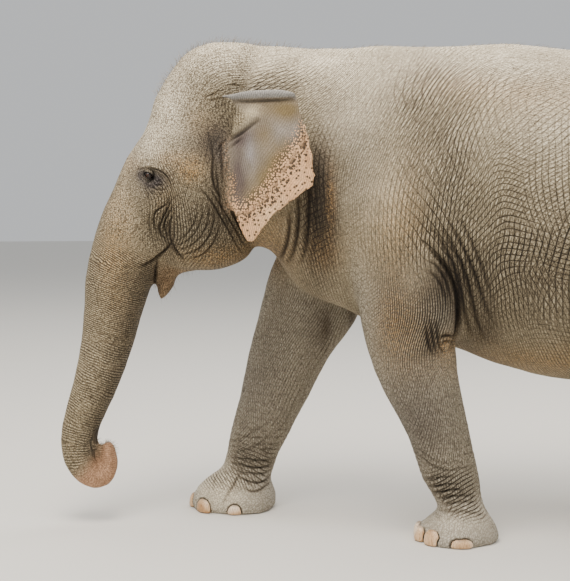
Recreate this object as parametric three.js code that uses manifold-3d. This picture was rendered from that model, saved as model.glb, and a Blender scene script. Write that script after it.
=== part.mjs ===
// A life-size Asian elephant, an adult cow in mid-stride, as a still model made of solids.
// Millimetres, +Z up. The head points along -X and the animal's left side faces -Y.
// The flesh is lofted from a few named stations, joined into one body and parted again by thin cuts,
// so that every named piece meets its neighbour with a hairline gap.
import * as THREE from "three";
import { mergeVertices } from "three/addons/utils/BufferGeometryUtils.js";
import Module from "manifold-3d";

const wasm = await Module();
wasm.setup();

// ---- driving sizes ----
const bodyHalfWidth = 592; // belly at its widest, from the middle plane
const headHalfWidth = 345; // across the cheekbones, from the middle plane
const trunkBaseHalfWidth = 205;
const frontTrack = 284; // middle plane to the middle of a front leg, at its top
const hindTrack = 268;
const hindStride = 165; // each hind foot is this far ahead of or behind the hip
const eyeRadius = 21;
const earThickness = 17;
const jointGap = 0.3; // hairline between neighbouring pieces
const bodySides = 24;
const headSides = 24;
const trunkSides = 12;
const legSides = 14;
const tailSides = 7;
const left = -1;
const right = 1;

// ---- small tools ----

// The value of one named size between two stations, as a monotone cubic: it never overshoots a station.
function sizeAt(stations, place, key, at) {
  const last = stations.length - 1;
  const slope = (i) =>
    (stations[i + 1][key] - stations[i][key]) / (stations[i + 1][place] - stations[i][place]);
  const tangent = (i) => {
    if (i === 0) return slope(0);
    if (i === last) return slope(last - 1);
    const before = slope(i - 1);
    const after = slope(i);
    return before * after <= 0 ? 0 : (2 * before * after) / (before + after);
  };
  const start = stations[0][place];
  const past = (station) => Math.abs(at - start) > Math.abs(station[place] - start);
  let i = 0;
  while (i < last - 1 && past(stations[i + 1])) i++;
  const span = stations[i + 1][place] - stations[i][place];
  const t = THREE.MathUtils.clamp((at - stations[i][place]) / span, 0, 1);
  const rise = t * t * (3 - 2 * t);
  return (
    stations[i][key] * (1 - rise) +
    stations[i + 1][key] * rise +
    span * (tangent(i) * t * (1 - t) * (1 - t) - tangent(i + 1) * t * t * (1 - t))
  );
}

// Turns rows of numbers into stations with named sizes.
const table = (names, rows) => rows.map((row) => Object.fromEntries(names.map((name, i) => [name, row[i]])));

// Places between the first and last station, closer together where the rows are.
function places(stations, place, perGap) {
  const list = [];
  stations.slice(0, -1).forEach((station, i) => {
    for (let k = 0; k < perGap; k++)
      list.push(THREE.MathUtils.lerp(station[place], stations[i + 1][place], k / perGap));
  });
  list.push(stations.at(-1)[place]);
  return list;
}

// A point on a superellipse with its own reach on each half: returns [across, along].
function superellipse(angle, half, ahead, behind, powerAhead, powerBehind) {
  const c = Math.cos(angle);
  const s = Math.sin(angle);
  const power = s >= 0 ? powerAhead : powerBehind;
  const reach = s >= 0 ? ahead : behind;
  return [
    half * Math.sign(c) * Math.abs(c) ** (2 / power),
    reach * Math.sign(s) * Math.abs(s) ** (2 / power),
  ];
}

// A closed skin over rings of equal count, with a fan over each end.
function loft(rings) {
  const sides = rings[0].length;
  const points = rings.flat();
  const index = [];
  for (let r = 0; r < rings.length - 1; r++)
    for (let i = 0; i < sides; i++) {
      const a = r * sides + i;
      const b = r * sides + ((i + 1) % sides);
      index.push(a, b, b + sides, a, b + sides, a + sides);
    }
  [0, rings.length - 1].forEach((r, end) => {
    const middle = points.length;
    points.push(rings[r].reduce((sum, p) => sum.add(p), new THREE.Vector3()).divideScalar(sides));
    for (let i = 0; i < sides; i++) {
      const a = r * sides + i;
      const b = r * sides + ((i + 1) % sides);
      index.push(...(end ? [a, b, middle] : [b, a, middle]));
    }
  });
  return facingOut(new THREE.BufferGeometry().setFromPoints(points).setIndex(index));
}

// Reverses the faces of a closed geometry if they point inwards.
function facingOut(geometry) {
  const p = geometry.attributes.position;
  const index = geometry.index.array;
  const [a, b, c] = [new THREE.Vector3(), new THREE.Vector3(), new THREE.Vector3()];
  let volume = 0;
  for (let i = 0; i < index.length; i += 3) {
    a.fromBufferAttribute(p, index[i]);
    b.fromBufferAttribute(p, index[i + 1]);
    c.fromBufferAttribute(p, index[i + 2]);
    volume += a.dot(b.cross(c));
  }
  if (volume < 0) geometry.setIndex(Array.from(index).reverse());
  return geometry;
}

// The same closed geometry with every face moved out by a distance.
function grown(geometry, by) {
  const bare = new THREE.BufferGeometry().setAttribute("position", geometry.attributes.position.clone());
  bare.setIndex(geometry.index.clone());
  const closed = mergeVertices(bare, 1e-3);
  closed.computeVertexNormals();
  const p = closed.attributes.position;
  const n = closed.attributes.normal;
  for (let i = 0; i < p.count; i++)
    p.setXYZ(i, p.getX(i) + by * n.getX(i), p.getY(i) + by * n.getY(i), p.getZ(i) + by * n.getZ(i));
  return closed;
}

function solidOf(geometry) {
  const bare = new THREE.BufferGeometry().setAttribute("position", geometry.attributes.position.clone());
  if (geometry.index) bare.setIndex(geometry.index.clone());
  const closed = mergeVertices(bare, 1e-3);
  return new wasm.Manifold(
    new wasm.Mesh({
      numProp: 3,
      vertProperties: closed.attributes.position.array,
      triVerts: new Uint32Array(closed.index.array),
    }),
  );
}

function geometryOf(solid) {
  const mesh = solid.getMesh();
  return new THREE.BufferGeometry()
    .setAttribute("position", new THREE.BufferAttribute(new Float32Array(mesh.vertProperties), 3))
    .setIndex(new THREE.BufferAttribute(new Uint32Array(mesh.triVerts), 1));
}

// ---- body: rump to the back of the skull, as upright rings along X ----

const bodyStations = table(
  ["x", "top", "bottom", "half", "widest", "roundTop", "roundBottom"],
  [
    [-400, 2240, 1520, 0.36, 1860, 2.0, 2.0],
    [-180, 2350, 1400, 0.49, 1830, 2.0, 2.0],
    [-50, 2356, 1345, 0.525, 1800, 2.0, 2.0],
    [35, 2350, 1205, 0.555, 1760, 2.0, 2.0],
    [130, 2342, 1132, 0.61, 1700, 2.0, 2.0],
    [280, 2340, 1078, 0.69, 1620, 2.0, 2.1],
    [430, 2353, 1005, 0.735, 1560, 1.9, 2.2],
    [640, 2342, 932, 0.775, 1500, 1.9, 2.2],
    [860, 2348, 872, 0.86, 1450, 1.9, 2.2],
    [1060, 2360, 799, 0.935, 1420, 1.9, 2.2],
    [1260, 2352, 745, 0.985, 1400, 1.9, 2.2],
    [1460, 2328, 716, 1.0, 1390, 1.9, 2.2],
    [1660, 2284, 712, 0.97, 1390, 1.9, 2.2],
    [1860, 2226, 748, 0.9, 1420, 1.95, 2.2],
    [2050, 2150, 822, 0.82, 1450, 2.0, 2.2],
    [2210, 2064, 930, 0.72, 1480, 2.05, 2.1],
    [2330, 1962, 1060, 0.59, 1500, 2.1, 2.0],
    [2405, 1850, 1210, 0.43, 1520, 2.0, 2.0],
    [2440, 1710, 1360, 0.22, 1530, 2.0, 2.0],
  ],
);

function bodyRing(x) {
  const size = (key) => sizeAt(bodyStations, "x", key, x);
  const level = size("widest");
  return Array.from({ length: bodySides }, (_, i) => {
    const [y, z] = superellipse(
      (2 * Math.PI * i) / bodySides,
      size("half") * bodyHalfWidth,
      size("top") - level,
      level - size("bottom"),
      size("roundTop"),
      size("roundBottom"),
    );
    return new THREE.Vector3(x, y, level + z);
  });
}

// ---- skull, cheeks and jaw angle: level rings from the crown down ----

const headStations = table(
  ["z", "front", "back", "middle", "half", "roundFront", "roundBack"],
  [
    [2362, -345, -215, -280, 0.14, 2.0, 2.0],
    [2350, -398, -130, -270, 0.34, 2.0, 2.0],
    [2328, -450, -90, -270, 0.5, 2.0, 2.0],
    [2282, -510, -70, -280, 0.64, 2.1, 2.0],
    [2200, -571, -60, -290, 0.73, 2.2, 2.0],
    [2090, -633, -60, -300, 0.79, 2.3, 2.0],
    [1970, -672, -60, -310, 0.83, 2.4, 2.0],
    [1860, -722, -70, -320, 0.91, 2.4, 2.0],
    [1760, -765, -90, -330, 0.98, 2.4, 2.0],
    [1660, -785, -110, -345, 0.97, 2.4, 2.0],
    [1560, -790, -120, -360, 0.91, 2.3, 2.0],
    [1460, -765, -130, -375, 0.84, 2.2, 2.1],
    [1380, -710, -145, -385, 0.76, 2.2, 2.1],
    [1320, -640, -190, -390, 0.65, 2.1, 2.1],
    [1283, -590, -260, -400, 0.5, 2.0, 2.0],
    [1262, -520, -340, -430, 0.26, 2.0, 2.0],
  ],
);
const domes = { x: -360, y: 135, z: 2290, reach: 120, height: 26 }; // the two humps of the crown
const temple = { x: -500, z: 2010, reach: 115, depth: 30 }; // the hollow above and behind each eye
const socket = { x: -625, z: 1722, reach: 62, depth: 20 }; // around each eye
const brow = { x: -610, z: 1800, reach: 60, height: 16 };
const cheekbone = { x: -440, z: 1755, reach: 105, height: 14 };
const mouthCorner = { x: -560, z: 1420, reach: 60, depth: 30 };

const hump = (distance, reach) => Math.exp(-((distance / reach) ** 2));

// How far a point on the side of the head stands out from the plain ring.
function headRelief(x, y, z) {
  const around = (spot) => hump(Math.hypot(x - spot.x, z - spot.z), spot.reach);
  const side = THREE.MathUtils.smoothstep(Math.abs(y), 120, 240);
  const crown = hump(Math.hypot(x - domes.x, Math.abs(y) - domes.y, z - domes.z), domes.reach);
  const groove = hump(y, 45) * hump(Math.hypot(x - domes.x, z - 2340), 190);
  return (
    domes.height * (crown - 0.7 * groove) +
    side *
      (brow.height * around(brow) +
        cheekbone.height * around(cheekbone) -
        temple.depth * around(temple) -
        socket.depth * around(socket) -
        mouthCorner.depth * around(mouthCorner))
  );
}

const faceFrom = 6; // stations below this one get a level between them, for the relief of the face
const headLevels = [
  ...places(headStations.slice(0, faceFrom + 1), "z", 1),
  ...places(headStations.slice(faceFrom, 13), "z", 2).slice(1),
  ...places(headStations.slice(12), "z", 1).slice(1),
];

function skull() {
  return loft(
    headLevels.map((z) => {
      const size = (key) => sizeAt(headStations, "z", key, z);
      const middle = size("middle");
      return Array.from({ length: headSides }, (_, i) => {
        const [y, x] = superellipse(
          (2 * Math.PI * i) / headSides,
          size("half") * headHalfWidth,
          size("back") - middle,
          middle - size("front"),
          size("roundBack"),
          size("roundFront"),
        );
        const out = new THREE.Vector3(x, y, 0).normalize();
        const point = new THREE.Vector3(middle + x, y, z);
        return point.addScaledVector(out, headRelief(point.x, y, z));
      });
    }),
  );
}

// ---- trunk: rings across a line that runs down the face, hangs and curls under at the tip ----
// front is the outer edge in the side view, lean the turn of the ring, deep and half its two sizes.

const trunkStations = table(
  ["at", "frontX", "frontZ", "lean", "deep", "half"],
  [
    [0, -690, 1935, 22, 150, 0.42],
    [1, -779, 1800, 29, 300, 0.8],
    [2, -842, 1665, 26, 380, 0.95],
    [3, -895, 1550, 23, 400, 1.0],
    [4, -937, 1432, 17, 385, 1.0],
    [5, -968, 1310, 10, 350, 0.94],
    [6, -984, 1190, 5, 318, 0.83],
    [7, -994, 1060, 5, 286, 0.74],
    [8, -1003, 945, 8, 262, 0.67],
    [9, -1022, 830, 12, 240, 0.61],
    [10, -1048, 712, 16, 218, 0.56],
    [11, -1080, 600, 15, 198, 0.51],
    [12, -1106, 500, 8, 186, 0.47],
    [13, -1116, 410, -2, 184, 0.45],
    [14, -1106, 332, -13, 184, 0.44],
    [15, -1076, 260, -31, 172, 0.42],
    [16, -1022, 200, -59, 158, 0.4],
    [17, -950, 172, -87, 145, 0.37],
    [18, -885, 186, -118, 122, 0.34],
    [19, -843, 240, -152, 96, 0.31],
    [20, -831, 300, -180, 78, 0.29],
    [21, -840, 350, -190, 74, 0.27],
    [22, -854, 390, -196, 62, 0.22],
    [23, -872, 408, -198, 32, 0.12],
  ],
);

function trunkRing(at) {
  const size = (key) => sizeAt(trunkStations, "at", key, at);
  const lean = THREE.MathUtils.degToRad(size("lean"));
  const inward = new THREE.Vector3(Math.cos(lean), 0, -Math.sin(lean));
  const front = new THREE.Vector3(size("frontX"), 0, size("frontZ"));
  const middle = front.addScaledVector(inward, size("deep") / 2);
  return Array.from({ length: trunkSides }, (_, i) => {
    const [y, along] = superellipse(
      (2 * Math.PI * i) / trunkSides,
      size("half") * trunkBaseHalfWidth,
      size("deep") / 2,
      size("deep") / 2,
      2.2,
      2.1,
    );
    return new THREE.Vector3(0, y, 0).addScaledVector(inward, along).add(middle);
  });
}

const trunkPlaces = [
  ...places(trunkStations.slice(0, 15), "at", 1),
  14.5,
  ...places(trunkStations.slice(15), "at", 2),
];

// ---- lower jaw and the pointed lower lip ----

const jawStations = table(
  ["at", "x", "z", "lean", "thick", "half"],
  [
    [0, -180, 1420, 0, 60, 120],
    [1, -330, 1362, 5, 85, 165],
    [2, -460, 1335, 10, 80, 150],
    [3, -545, 1300, 25, 66, 112],
    [4, -583, 1245, 55, 54, 84],
    [5, -588, 1200, 72, 46, 64],
    [6, -600, 1155, 76, 30, 44],
    [7, -611, 1118, 78, 8, 14],
  ],
);

function jaw() {
  return loft(
    places(jawStations, "at", 1).map((at) => {
      const size = (key) => sizeAt(jawStations, "at", key, at);
      const lean = THREE.MathUtils.degToRad(size("lean"));
      const across = new THREE.Vector3(-Math.sin(lean), 0, Math.cos(lean));
      return Array.from({ length: trunkSides }, (_, i) => {
        const angle = (2 * Math.PI * i) / trunkSides;
        const [y, along] = superellipse(angle, size("half"), size("thick"), size("thick"), 2, 2.2);
        return new THREE.Vector3(size("x"), y, size("z")).addScaledVector(across, along);
      });
    }),
  );
}

// ---- legs: level rings from inside the body to the sole ----

const legSizes = ["z", "x", "along", "across"];
const leftForeleg = table(legSizes, [
  [1880, 440, 70, 60],
  [1780, 430, 165, 138],
  [1620, 445, 226, 192],
  [1460, 490, 250, 212],
  [1340, 540, 262, 214],
  [1230, 575, 260, 206],
  [1110, 586, 244, 190],
  [980, 588, 222, 172],
  [900, 596, 211, 162],
  [800, 616, 198, 154],
  [680, 655, 181, 146],
  [580, 695, 163, 140],
  [480, 731, 148, 132],
  [387, 757, 142, 128],
  [287, 785, 136, 130],
  [215, 811, 118, 129],
  [165, 830, 110, 129],
  [130, 842, 116, 136],
  [90, 832, 148, 160],
  [50, 820, 176, 180],
  [20, 812, 188, 187],
  [0, 808, 183, 182],
]);
const rightForeleg = table(legSizes, [
  [1880, 400, 70, 60],
  [1780, 390, 170, 138],
  [1620, 350, 232, 192],
  [1460, 292, 260, 212],
  [1340, 242, 272, 214],
  [1230, 195, 274, 206],
  [1110, 155, 270, 190],
  [980, 107, 257, 174],
  [900, 70, 240, 166],
  [800, 20, 215, 158],
  [680, -24, 194, 150],
  [580, -58, 180, 143],
  [480, -100, 166, 136],
  [370, -140, 152, 130],
  [280, -172, 135, 130],
  [215, -192, 136, 130],
  [180, -218, 150, 135],
  [145, -246, 172, 148],
  [110, -258, 197, 168],
  [70, -262, 212, 182],
  [25, -268, 217, 188],
  [0, -266, 206, 182],
]);
const hindLeg = table(legSizes, [
  [1900, 2040, 90, 50],
  [1790, 2060, 200, 140],
  [1660, 2068, 280, 206],
  [1500, 2068, 328, 236],
  [1330, 2050, 342, 232],
  [1170, 2026, 332, 214],
  [1010, 2008, 298, 192],
  [860, 2008, 250, 169],
  [760, 2016, 218, 155],
  [650, 2036, 188, 143],
  [540, 2056, 164, 134],
  [430, 2070, 148, 128],
  [330, 2079, 138, 124],
  [250, 2080, 131, 121],
  [190, 2077, 130, 121],
  [140, 2071, 140, 130],
  [95, 2066, 162, 148],
  [50, 2062, 178, 164],
  [20, 2058, 183, 168],
  [0, 2056, 176, 162],
]);
const hipLevel = 1500; // a hind leg swings about this level
const footFrom = 200; // below this level the rings are those of a foot

// A hind leg set forward or back: the lower a ring, the further it moves.
function strideLeg(step) {
  return hindLeg.map((station) => ({
    ...station,
    x: station.x + step * THREE.MathUtils.clamp(1 - station.z / hipLevel, 0, 1),
  }));
}

// splay is how much further out the sole is than the top, toeOut the turn of the foot in degrees.
// Nails run from the inner one to the outer one, each with its turn from straight ahead in degrees,
// half its width and its height.
const nailSizes = ["turn", "half", "high"];
const leftForeNails = table(nailSizes, [
  [-60, 44, 52],
  [-21, 46, 70],
  [12, 45, 74],
  [44, 47, 78],
  [89, 60, 48],
]);
const rightForeNails = table(nailSizes, [
  [-94, 42, 56],
  [-40, 54, 74],
  [4, 45, 74],
  [42, 47, 72],
  [84, 58, 50],
]);
const hindNails = table(nailSizes, [
  [-50, 42, 60],
  [-13, 43, 70],
  [25, 44, 70],
  [64, 46, 60],
]);
const legs = [
  {
    name: "front_left",
    side: left,
    track: frontTrack,
    splay: 30,
    toeOut: 24,
    stations: leftForeleg,
    cuts: [215, 900],
    nails: leftForeNails,
  },
  {
    name: "front_right",
    side: right,
    track: frontTrack,
    splay: 52,
    toeOut: 14,
    stations: rightForeleg,
    cuts: [215, 900],
    nails: rightForeNails,
  },
  {
    name: "hind_left",
    side: left,
    track: hindTrack,
    splay: 15,
    toeOut: 10,
    stations: strideLeg(hindStride),
    cuts: [190, 760],
    nails: hindNails,
  },
  {
    name: "hind_right",
    side: right,
    track: hindTrack,
    splay: 15,
    toeOut: 10,
    stations: strideLeg(-hindStride),
    cuts: [190, 760],
    nails: hindNails,
  },
];

// Distance from the middle plane to the middle of a leg at a level.
function legOut({ side, track, splay, stations }, level) {
  return side * (track + splay * (1 - level / stations[0].z));
}

// One ring of a leg or its foot at a level. A foot is squarer than a leg, and turned out.
function legRing(one, level) {
  const size = (key) => sizeAt(one.stations, "z", key, level);
  const footness = 1 - THREE.MathUtils.smoothstep(level, 60, footFrom);
  const power = 2.15 + 0.4 * footness;
  const turn = -one.side * THREE.MathUtils.degToRad(one.toeOut) * footness;
  return Array.from({ length: legSides }, (_, i) => {
    const [y, ahead] = superellipse(
      (2 * Math.PI * i) / legSides,
      size("across"),
      size("along"),
      size("along"),
      power,
      power,
    );
    return new THREE.Vector3(ahead, y, 0)
      .applyAxisAngle(new THREE.Vector3(0, 0, 1), turn)
      .add(new THREE.Vector3(size("x"), legOut(one, level), level));
  });
}

const legLevels = (one) => places(one.stations, "z", 1);

// ---- toenails: domed plates on the rim of each foot, flat at the ground ----

const nailThick = 27;
const nailLevel = 16; // where a nail is widest
const nailClear = 2; // between a nail and the ground

function nailShape(one, nail) {
  const turn = THREE.MathUtils.degToRad(nail.turn);
  const foot = one.stations.at(-2);
  const out = new THREE.Vector3(-Math.cos(turn), one.side * Math.sin(turn), 0);
  const reach = 1 / Math.hypot(out.x / foot.along, out.y / foot.across) - 7;
  const ball = new THREE.SphereGeometry(1, 8, 6).rotateX(Math.PI / 2);
  ball.scale(nailThick, nail.half, nail.high - nailLevel);
  ball.rotateZ(Math.atan2(out.y, out.x));
  return ball.translate(foot.x + out.x * reach, legOut(one, 0) + out.y * reach, nailLevel);
}

// ---- tail ----

const tailStations = table(
  ["at", "x", "z", "radius"],
  [
    [0, 2270, 1960, 92],
    [1, 2360, 1925, 84],
    [2, 2438, 1845, 66],
    [3, 2486, 1700, 52],
    [4, 2505, 1510, 42],
    [5, 2506, 1300, 34],
    [6, 2503, 1090, 28],
    [7, 2505, 900, 23],
    [8, 2509, 820, 28],
    [9, 2514, 700, 37],
    [10, 2519, 575, 25],
    [11, 2522, 520, 6],
  ],
);

function tail(from, to) {
  const middle = (t) =>
    new THREE.Vector3(sizeAt(tailStations, "at", "x", t), 0, sizeAt(tailStations, "at", "z", t));
  return stretch(places(tailStations, "at", 1), from, to, (t) => {
    const along = middle(Math.min(t + 0.25, 11))
      .sub(middle(Math.max(t - 0.25, 0)))
      .normalize();
    const across = new THREE.Vector3(-along.z, 0, along.x);
    const radius = sizeAt(tailStations, "at", "radius", t);
    return Array.from({ length: tailSides }, (_, i) => {
      const angle = (2 * Math.PI * i) / tailSides;
      return middle(t)
        .addScaledVector(across, radius * Math.sin(angle))
        .add(new THREE.Vector3(0, 0.85 * radius * Math.cos(angle), 0));
    });
  });
}

// ---- ears: a thin leaf that leaves the head at its front edge, with a rolled upper rim ----

const earRows = table(
  ["z", "front", "back"],
  [
    [2088, -262, 44],
    [2010, -226, 68],
    [1910, -240, 100],
    [1806, -262, 123],
    [1716, -276, 137],
    [1668, -274, 133],
    [1600, -256, 40],
    [1540, -238, -40],
    [1480, -216, -92],
    [1428, -190, -128],
    [1402, -168, -150],
  ],
);
const ear = {
  root: 306, // from the middle plane, where the leaf leaves the head
  rootX: -276,
  width: 412,
  flare: 186, // how much further out the rear edge is
  belly: 26,
  tuck: 40, // how much nearer the tip is than the top
  columns: 6,
  rimRadius: 21,
};

// Distance from the middle plane to the middle of the leaf: it leaves the head and swings outward.
function earOut(x, z) {
  const down = (earRows[0].z - z) / (earRows[0].z - earRows.at(-1).z);
  const reach = THREE.MathUtils.clamp((x - ear.rootX) / ear.width, 0, 1);
  const bulge = ear.belly * Math.sin(Math.PI * reach) * Math.sin(Math.PI * down);
  return ear.root + ear.flare * reach ** 0.75 + bulge - ear.tuck * down;
}

function earLeaf(side) {
  const rings = places(earRows, "z", 1).map((z) => {
    const front = sizeAt(earRows, "z", "front", z);
    const back = sizeAt(earRows, "z", "back", z);
    const at = (share, lift) => {
      const x = THREE.MathUtils.lerp(front, back, share);
      return new THREE.Vector3(x, side * (earOut(x, z) + lift), z);
    };
    const shares = Array.from({ length: ear.columns + 1 }, (_, i) => i / ear.columns);
    const thick = (share) => (earThickness / 2) * (1 - 0.45 * share);
    return [
      ...shares.map((share) => at(share, thick(share))),
      ...shares.reverse().map((share) => at(share, -thick(share))),
    ];
  });
  return loft(rings);
}

function earRim(side) {
  const shares = [-0.1, 0, 0.15, 0.45, 0.75, 0.93, 1.02];
  return loft(
    shares.map((share) => {
      const radius = ear.rimRadius * (1 - (Math.abs(share - 0.46) / 0.62) ** 4);
      const x = THREE.MathUtils.lerp(earRows[0].front, earRows[0].back, share);
      const out = earOut(x, earRows[0].z) + 12;
      return Array.from({ length: tailSides }, (_, i) => {
        const angle = (2 * Math.PI * i) / tailSides;
        const lift = radius * Math.cos(angle);
        return new THREE.Vector3(x, side * (out + radius * Math.sin(angle)), earRows[0].z - 4 + lift);
      });
    }),
  );
}

// ---- eyes ----

const eyePlace = { x: -642, y: 243, z: 1719 };

function eyeBall(side) {
  return new THREE.SphereGeometry(eyeRadius, 12, 8).translate(eyePlace.x, side * eyePlace.y, eyePlace.z);
}

// ---- putting it together ----

const finish = {
  skin: new THREE.MeshStandardMaterial({ color: 0x8c7f6c, roughness: 0.92, metalness: 0 }),
  trunk: new THREE.MeshStandardMaterial({ color: 0x94826b, roughness: 0.92, metalness: 0 }),
  tip: new THREE.MeshStandardMaterial({ color: 0xa07868, roughness: 0.8, metalness: 0 }),
  lip: new THREE.MeshStandardMaterial({ color: 0xa57f66, roughness: 0.8, metalness: 0 }),
  ear: new THREE.MeshStandardMaterial({ color: 0xb39a86, roughness: 0.85, metalness: 0 }),
  foot: new THREE.MeshStandardMaterial({ color: 0x8f887c, roughness: 0.95, metalness: 0 }),
  nail: new THREE.MeshStandardMaterial({ color: 0xc9a184, roughness: 0.6, metalness: 0 }),
  eye: new THREE.MeshStandardMaterial({ color: 0x2a1a10, roughness: 0.1, metalness: 0 }),
  hair: new THREE.MeshStandardMaterial({ color: 0x1d1916, roughness: 0.7, metalness: 0 }),
};

const elephant = new THREE.Group();

// The largest body of a cut solid: crumbs left where two skins graze each other are dropped.
function largest(solid) {
  return solid.decompose().reduce((big, one) => (one.volume() > big.volume() ? one : big));
}

// A solid with room cut in it for each of its neighbours, a hairline wider than they are.
function cleared(solid, neighbours) {
  return largest(neighbours.reduce((rest, one) => rest.subtract(solidOf(grown(one, jointGap))), solid));
}

function addNode(name, solid, material) {
  const mesh = new THREE.Mesh(geometryOf(solid), material);
  mesh.name = name;
  elephant.add(mesh);
}

// The stretch of a loft between two places: every ring of it between them, and one at each end.
function stretch(all, from, to, ring) {
  const room = 0.02 * (to - from);
  const between = all.filter((place) => place > from + room && place < to - room);
  return loft([from, ...between.sort((a, b) => a - b), to].map(ring));
}

const bodyPlaces = places(bodyStations, "x", 1);
const trunkRoot = stretch(trunkPlaces, 0, 4, trunkRing);
const eyes = { eye_left: eyeBall(left), eye_right: eyeBall(right) };
const wholeLegs = legs.map((one) => stretch(legLevels(one), 0, one.stations[0].z, (z) => legRing(one, z)));
const jawShape = jaw();
const tailShape = tail(0, 11);
const face = solidOf(skull()).add(solidOf(trunkRoot));
const head = cleared(face, [...Object.values(eyes), jawShape]);
const headShape = geometryOf(face);

addNode("head", head, finish.skin);
addNode("lower_jaw", solidOf(jawShape), finish.lip);
Object.entries(eyes).forEach(([name, shape]) => addNode(name, solidOf(shape), finish.eye));

// trunk, in lengths that part across its line
const trunkCuts = {
  trunk_upper: [4, 8],
  trunk_middle: [8, 12],
  trunk_lower: [12, 15.5],
  trunk_tip: [15.5, 23],
};
const hairline = 0.004; // of the spacing between trunk stations
Object.entries(trunkCuts).forEach(([name, [from, to]]) => {
  const length = solidOf(stretch(trunkPlaces, from + hairline, to, trunkRing));
  const material = name === "trunk_tip" ? finish.tip : finish.trunk;
  addNode(name, cleared(length, name === "trunk_upper" ? [headShape, jawShape] : []), material);
});

// neck and trunk of the body
const bodyCuts = { neck: [-400, 130], torso_front: [130, 1420], torso_rear: [1420, 2440] };
Object.entries(bodyCuts).forEach(([name, [from, to]]) => {
  const length = solidOf(stretch(bodyPlaces, from + (from > -400 ? jointGap : 0), to, bodyRing));
  const neighbours = [...wholeLegs, ...(name === "neck" ? [headShape, jawShape] : []), tailShape];
  addNode(name, cleared(length, neighbours), finish.skin);
});

// legs, parted at elbow or knee and at the ankle
legs.forEach((one) => {
  const [ankle, knee] = one.cuts;
  const top = one.stations[0].z;
  const length = (from, to) => stretch(legLevels(one), from, to, (z) => legRing(one, z));
  const foot = length(0, ankle);
  addNode(`foot_${one.name}`, solidOf(foot), finish.foot);
  addNode(`leg_${one.name}_lower`, solidOf(length(ankle + jointGap, knee)), finish.skin);
  addNode(`leg_${one.name}_upper`, solidOf(length(knee + jointGap, top)), finish.skin);
  const aboveGround = solidOf(new THREE.BoxGeometry(9000, 9000, 900).translate(0, 0, 450 + nailClear));
  one.nails.forEach((nail, i) => {
    const shape = solidOf(nailShape(one, nail)).intersect(aboveGround);
    addNode(`nail_${one.name}_${i + 1}`, cleared(shape, [foot]), finish.nail);
  });
});

addNode("tail", solidOf(tail(0, 6.75)), finish.skin);
addNode("tail_tuft", solidOf(tail(6.76, 11)), finish.hair);

[left, right].forEach((side) => {
  const leaf = solidOf(earLeaf(side)).add(solidOf(earRim(side)));
  addNode(side === left ? "ear_left" : "ear_right", cleared(leaf, [headShape]), finish.ear);
});

// The origin is on the ground, in the middle of the whole animal.
const extent = new THREE.Box3().setFromObject(elephant);
const centre = extent.getCenter(new THREE.Vector3());
elephant.position.set(-centre.x, -centre.y, -extent.min.z);

export default elephant;
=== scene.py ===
import math

import bmesh
import bpy
import numpy as np
from mathutils.bvhtree import BVHTree
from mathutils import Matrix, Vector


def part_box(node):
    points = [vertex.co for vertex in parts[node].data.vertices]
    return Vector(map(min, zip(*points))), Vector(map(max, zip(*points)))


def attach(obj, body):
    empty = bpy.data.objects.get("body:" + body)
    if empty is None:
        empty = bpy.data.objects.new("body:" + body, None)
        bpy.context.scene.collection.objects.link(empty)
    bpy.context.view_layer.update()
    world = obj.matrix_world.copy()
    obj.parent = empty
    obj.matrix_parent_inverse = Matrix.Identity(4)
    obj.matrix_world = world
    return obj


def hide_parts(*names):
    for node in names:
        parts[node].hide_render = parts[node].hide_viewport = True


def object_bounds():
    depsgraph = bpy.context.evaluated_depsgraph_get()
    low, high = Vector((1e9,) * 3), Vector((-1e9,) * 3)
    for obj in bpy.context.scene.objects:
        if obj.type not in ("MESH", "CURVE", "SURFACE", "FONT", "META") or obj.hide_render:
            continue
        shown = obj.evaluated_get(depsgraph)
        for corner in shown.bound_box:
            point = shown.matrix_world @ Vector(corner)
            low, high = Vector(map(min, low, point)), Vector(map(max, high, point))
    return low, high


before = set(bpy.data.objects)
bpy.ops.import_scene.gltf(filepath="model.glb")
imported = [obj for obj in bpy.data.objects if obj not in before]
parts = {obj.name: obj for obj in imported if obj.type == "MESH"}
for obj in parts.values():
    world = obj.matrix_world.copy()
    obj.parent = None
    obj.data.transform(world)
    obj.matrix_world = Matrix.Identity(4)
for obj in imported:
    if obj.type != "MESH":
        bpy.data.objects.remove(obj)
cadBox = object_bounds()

bpy.ops.object.select_all(action="DESELECT")
scene = bpy.context.scene
eyeLow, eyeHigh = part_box("eye_left")
chestX = -0.642 - (eyeLow.x + eyeHigh.x) / 2  # added to a model x, it counts from the front of the chest


def linear(hexColour):
    channels = [int(hexColour[i:i + 2], 16) / 255 for i in (1, 3, 5)]
    return tuple(c / 12.92 if c <= 0.04045 else ((c + 0.055) / 1.055) ** 2.4 for c in channels) + (1.0,)


def addNode(tree, kind, settings):  # an output among the settings is linked, and a hex colour made linear
    node = tree.nodes.new(kind)
    for name, value in settings.items():
        if name == "stops":
            ramp = node.color_ramp.elements
            while len(ramp) < len(value):
                ramp.new(0.5)
            for stop, (place, tone) in zip(ramp, value):
                stop.position = place
                stop.color = linear(tone) if isinstance(tone, str) else (tone, tone, tone, 1)
        elif not isinstance(name, int) and name not in node.inputs:
            setattr(node, name, value)
        elif isinstance(value, bpy.types.NodeSocket):
            tree.links.new(value, node.inputs[name])
        else:
            node.inputs[name].default_value = linear(value) if isinstance(value, str) else value
    return node


def newMaterial(name):
    material = bpy.data.materials.new(name)
    material.use_nodes = True
    return material, material.node_tree


def dress(tree, looks):  # what the surface of a material is given: outputs are linked, and numbers stay on it
    surface = tree.nodes["Principled BSDF"]
    for name, value in looks.items():
        if isinstance(value, bpy.types.NodeSocket):
            tree.links.new(value, surface.inputs[name])
        else:
            surface.inputs[name].default_value = value


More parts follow.
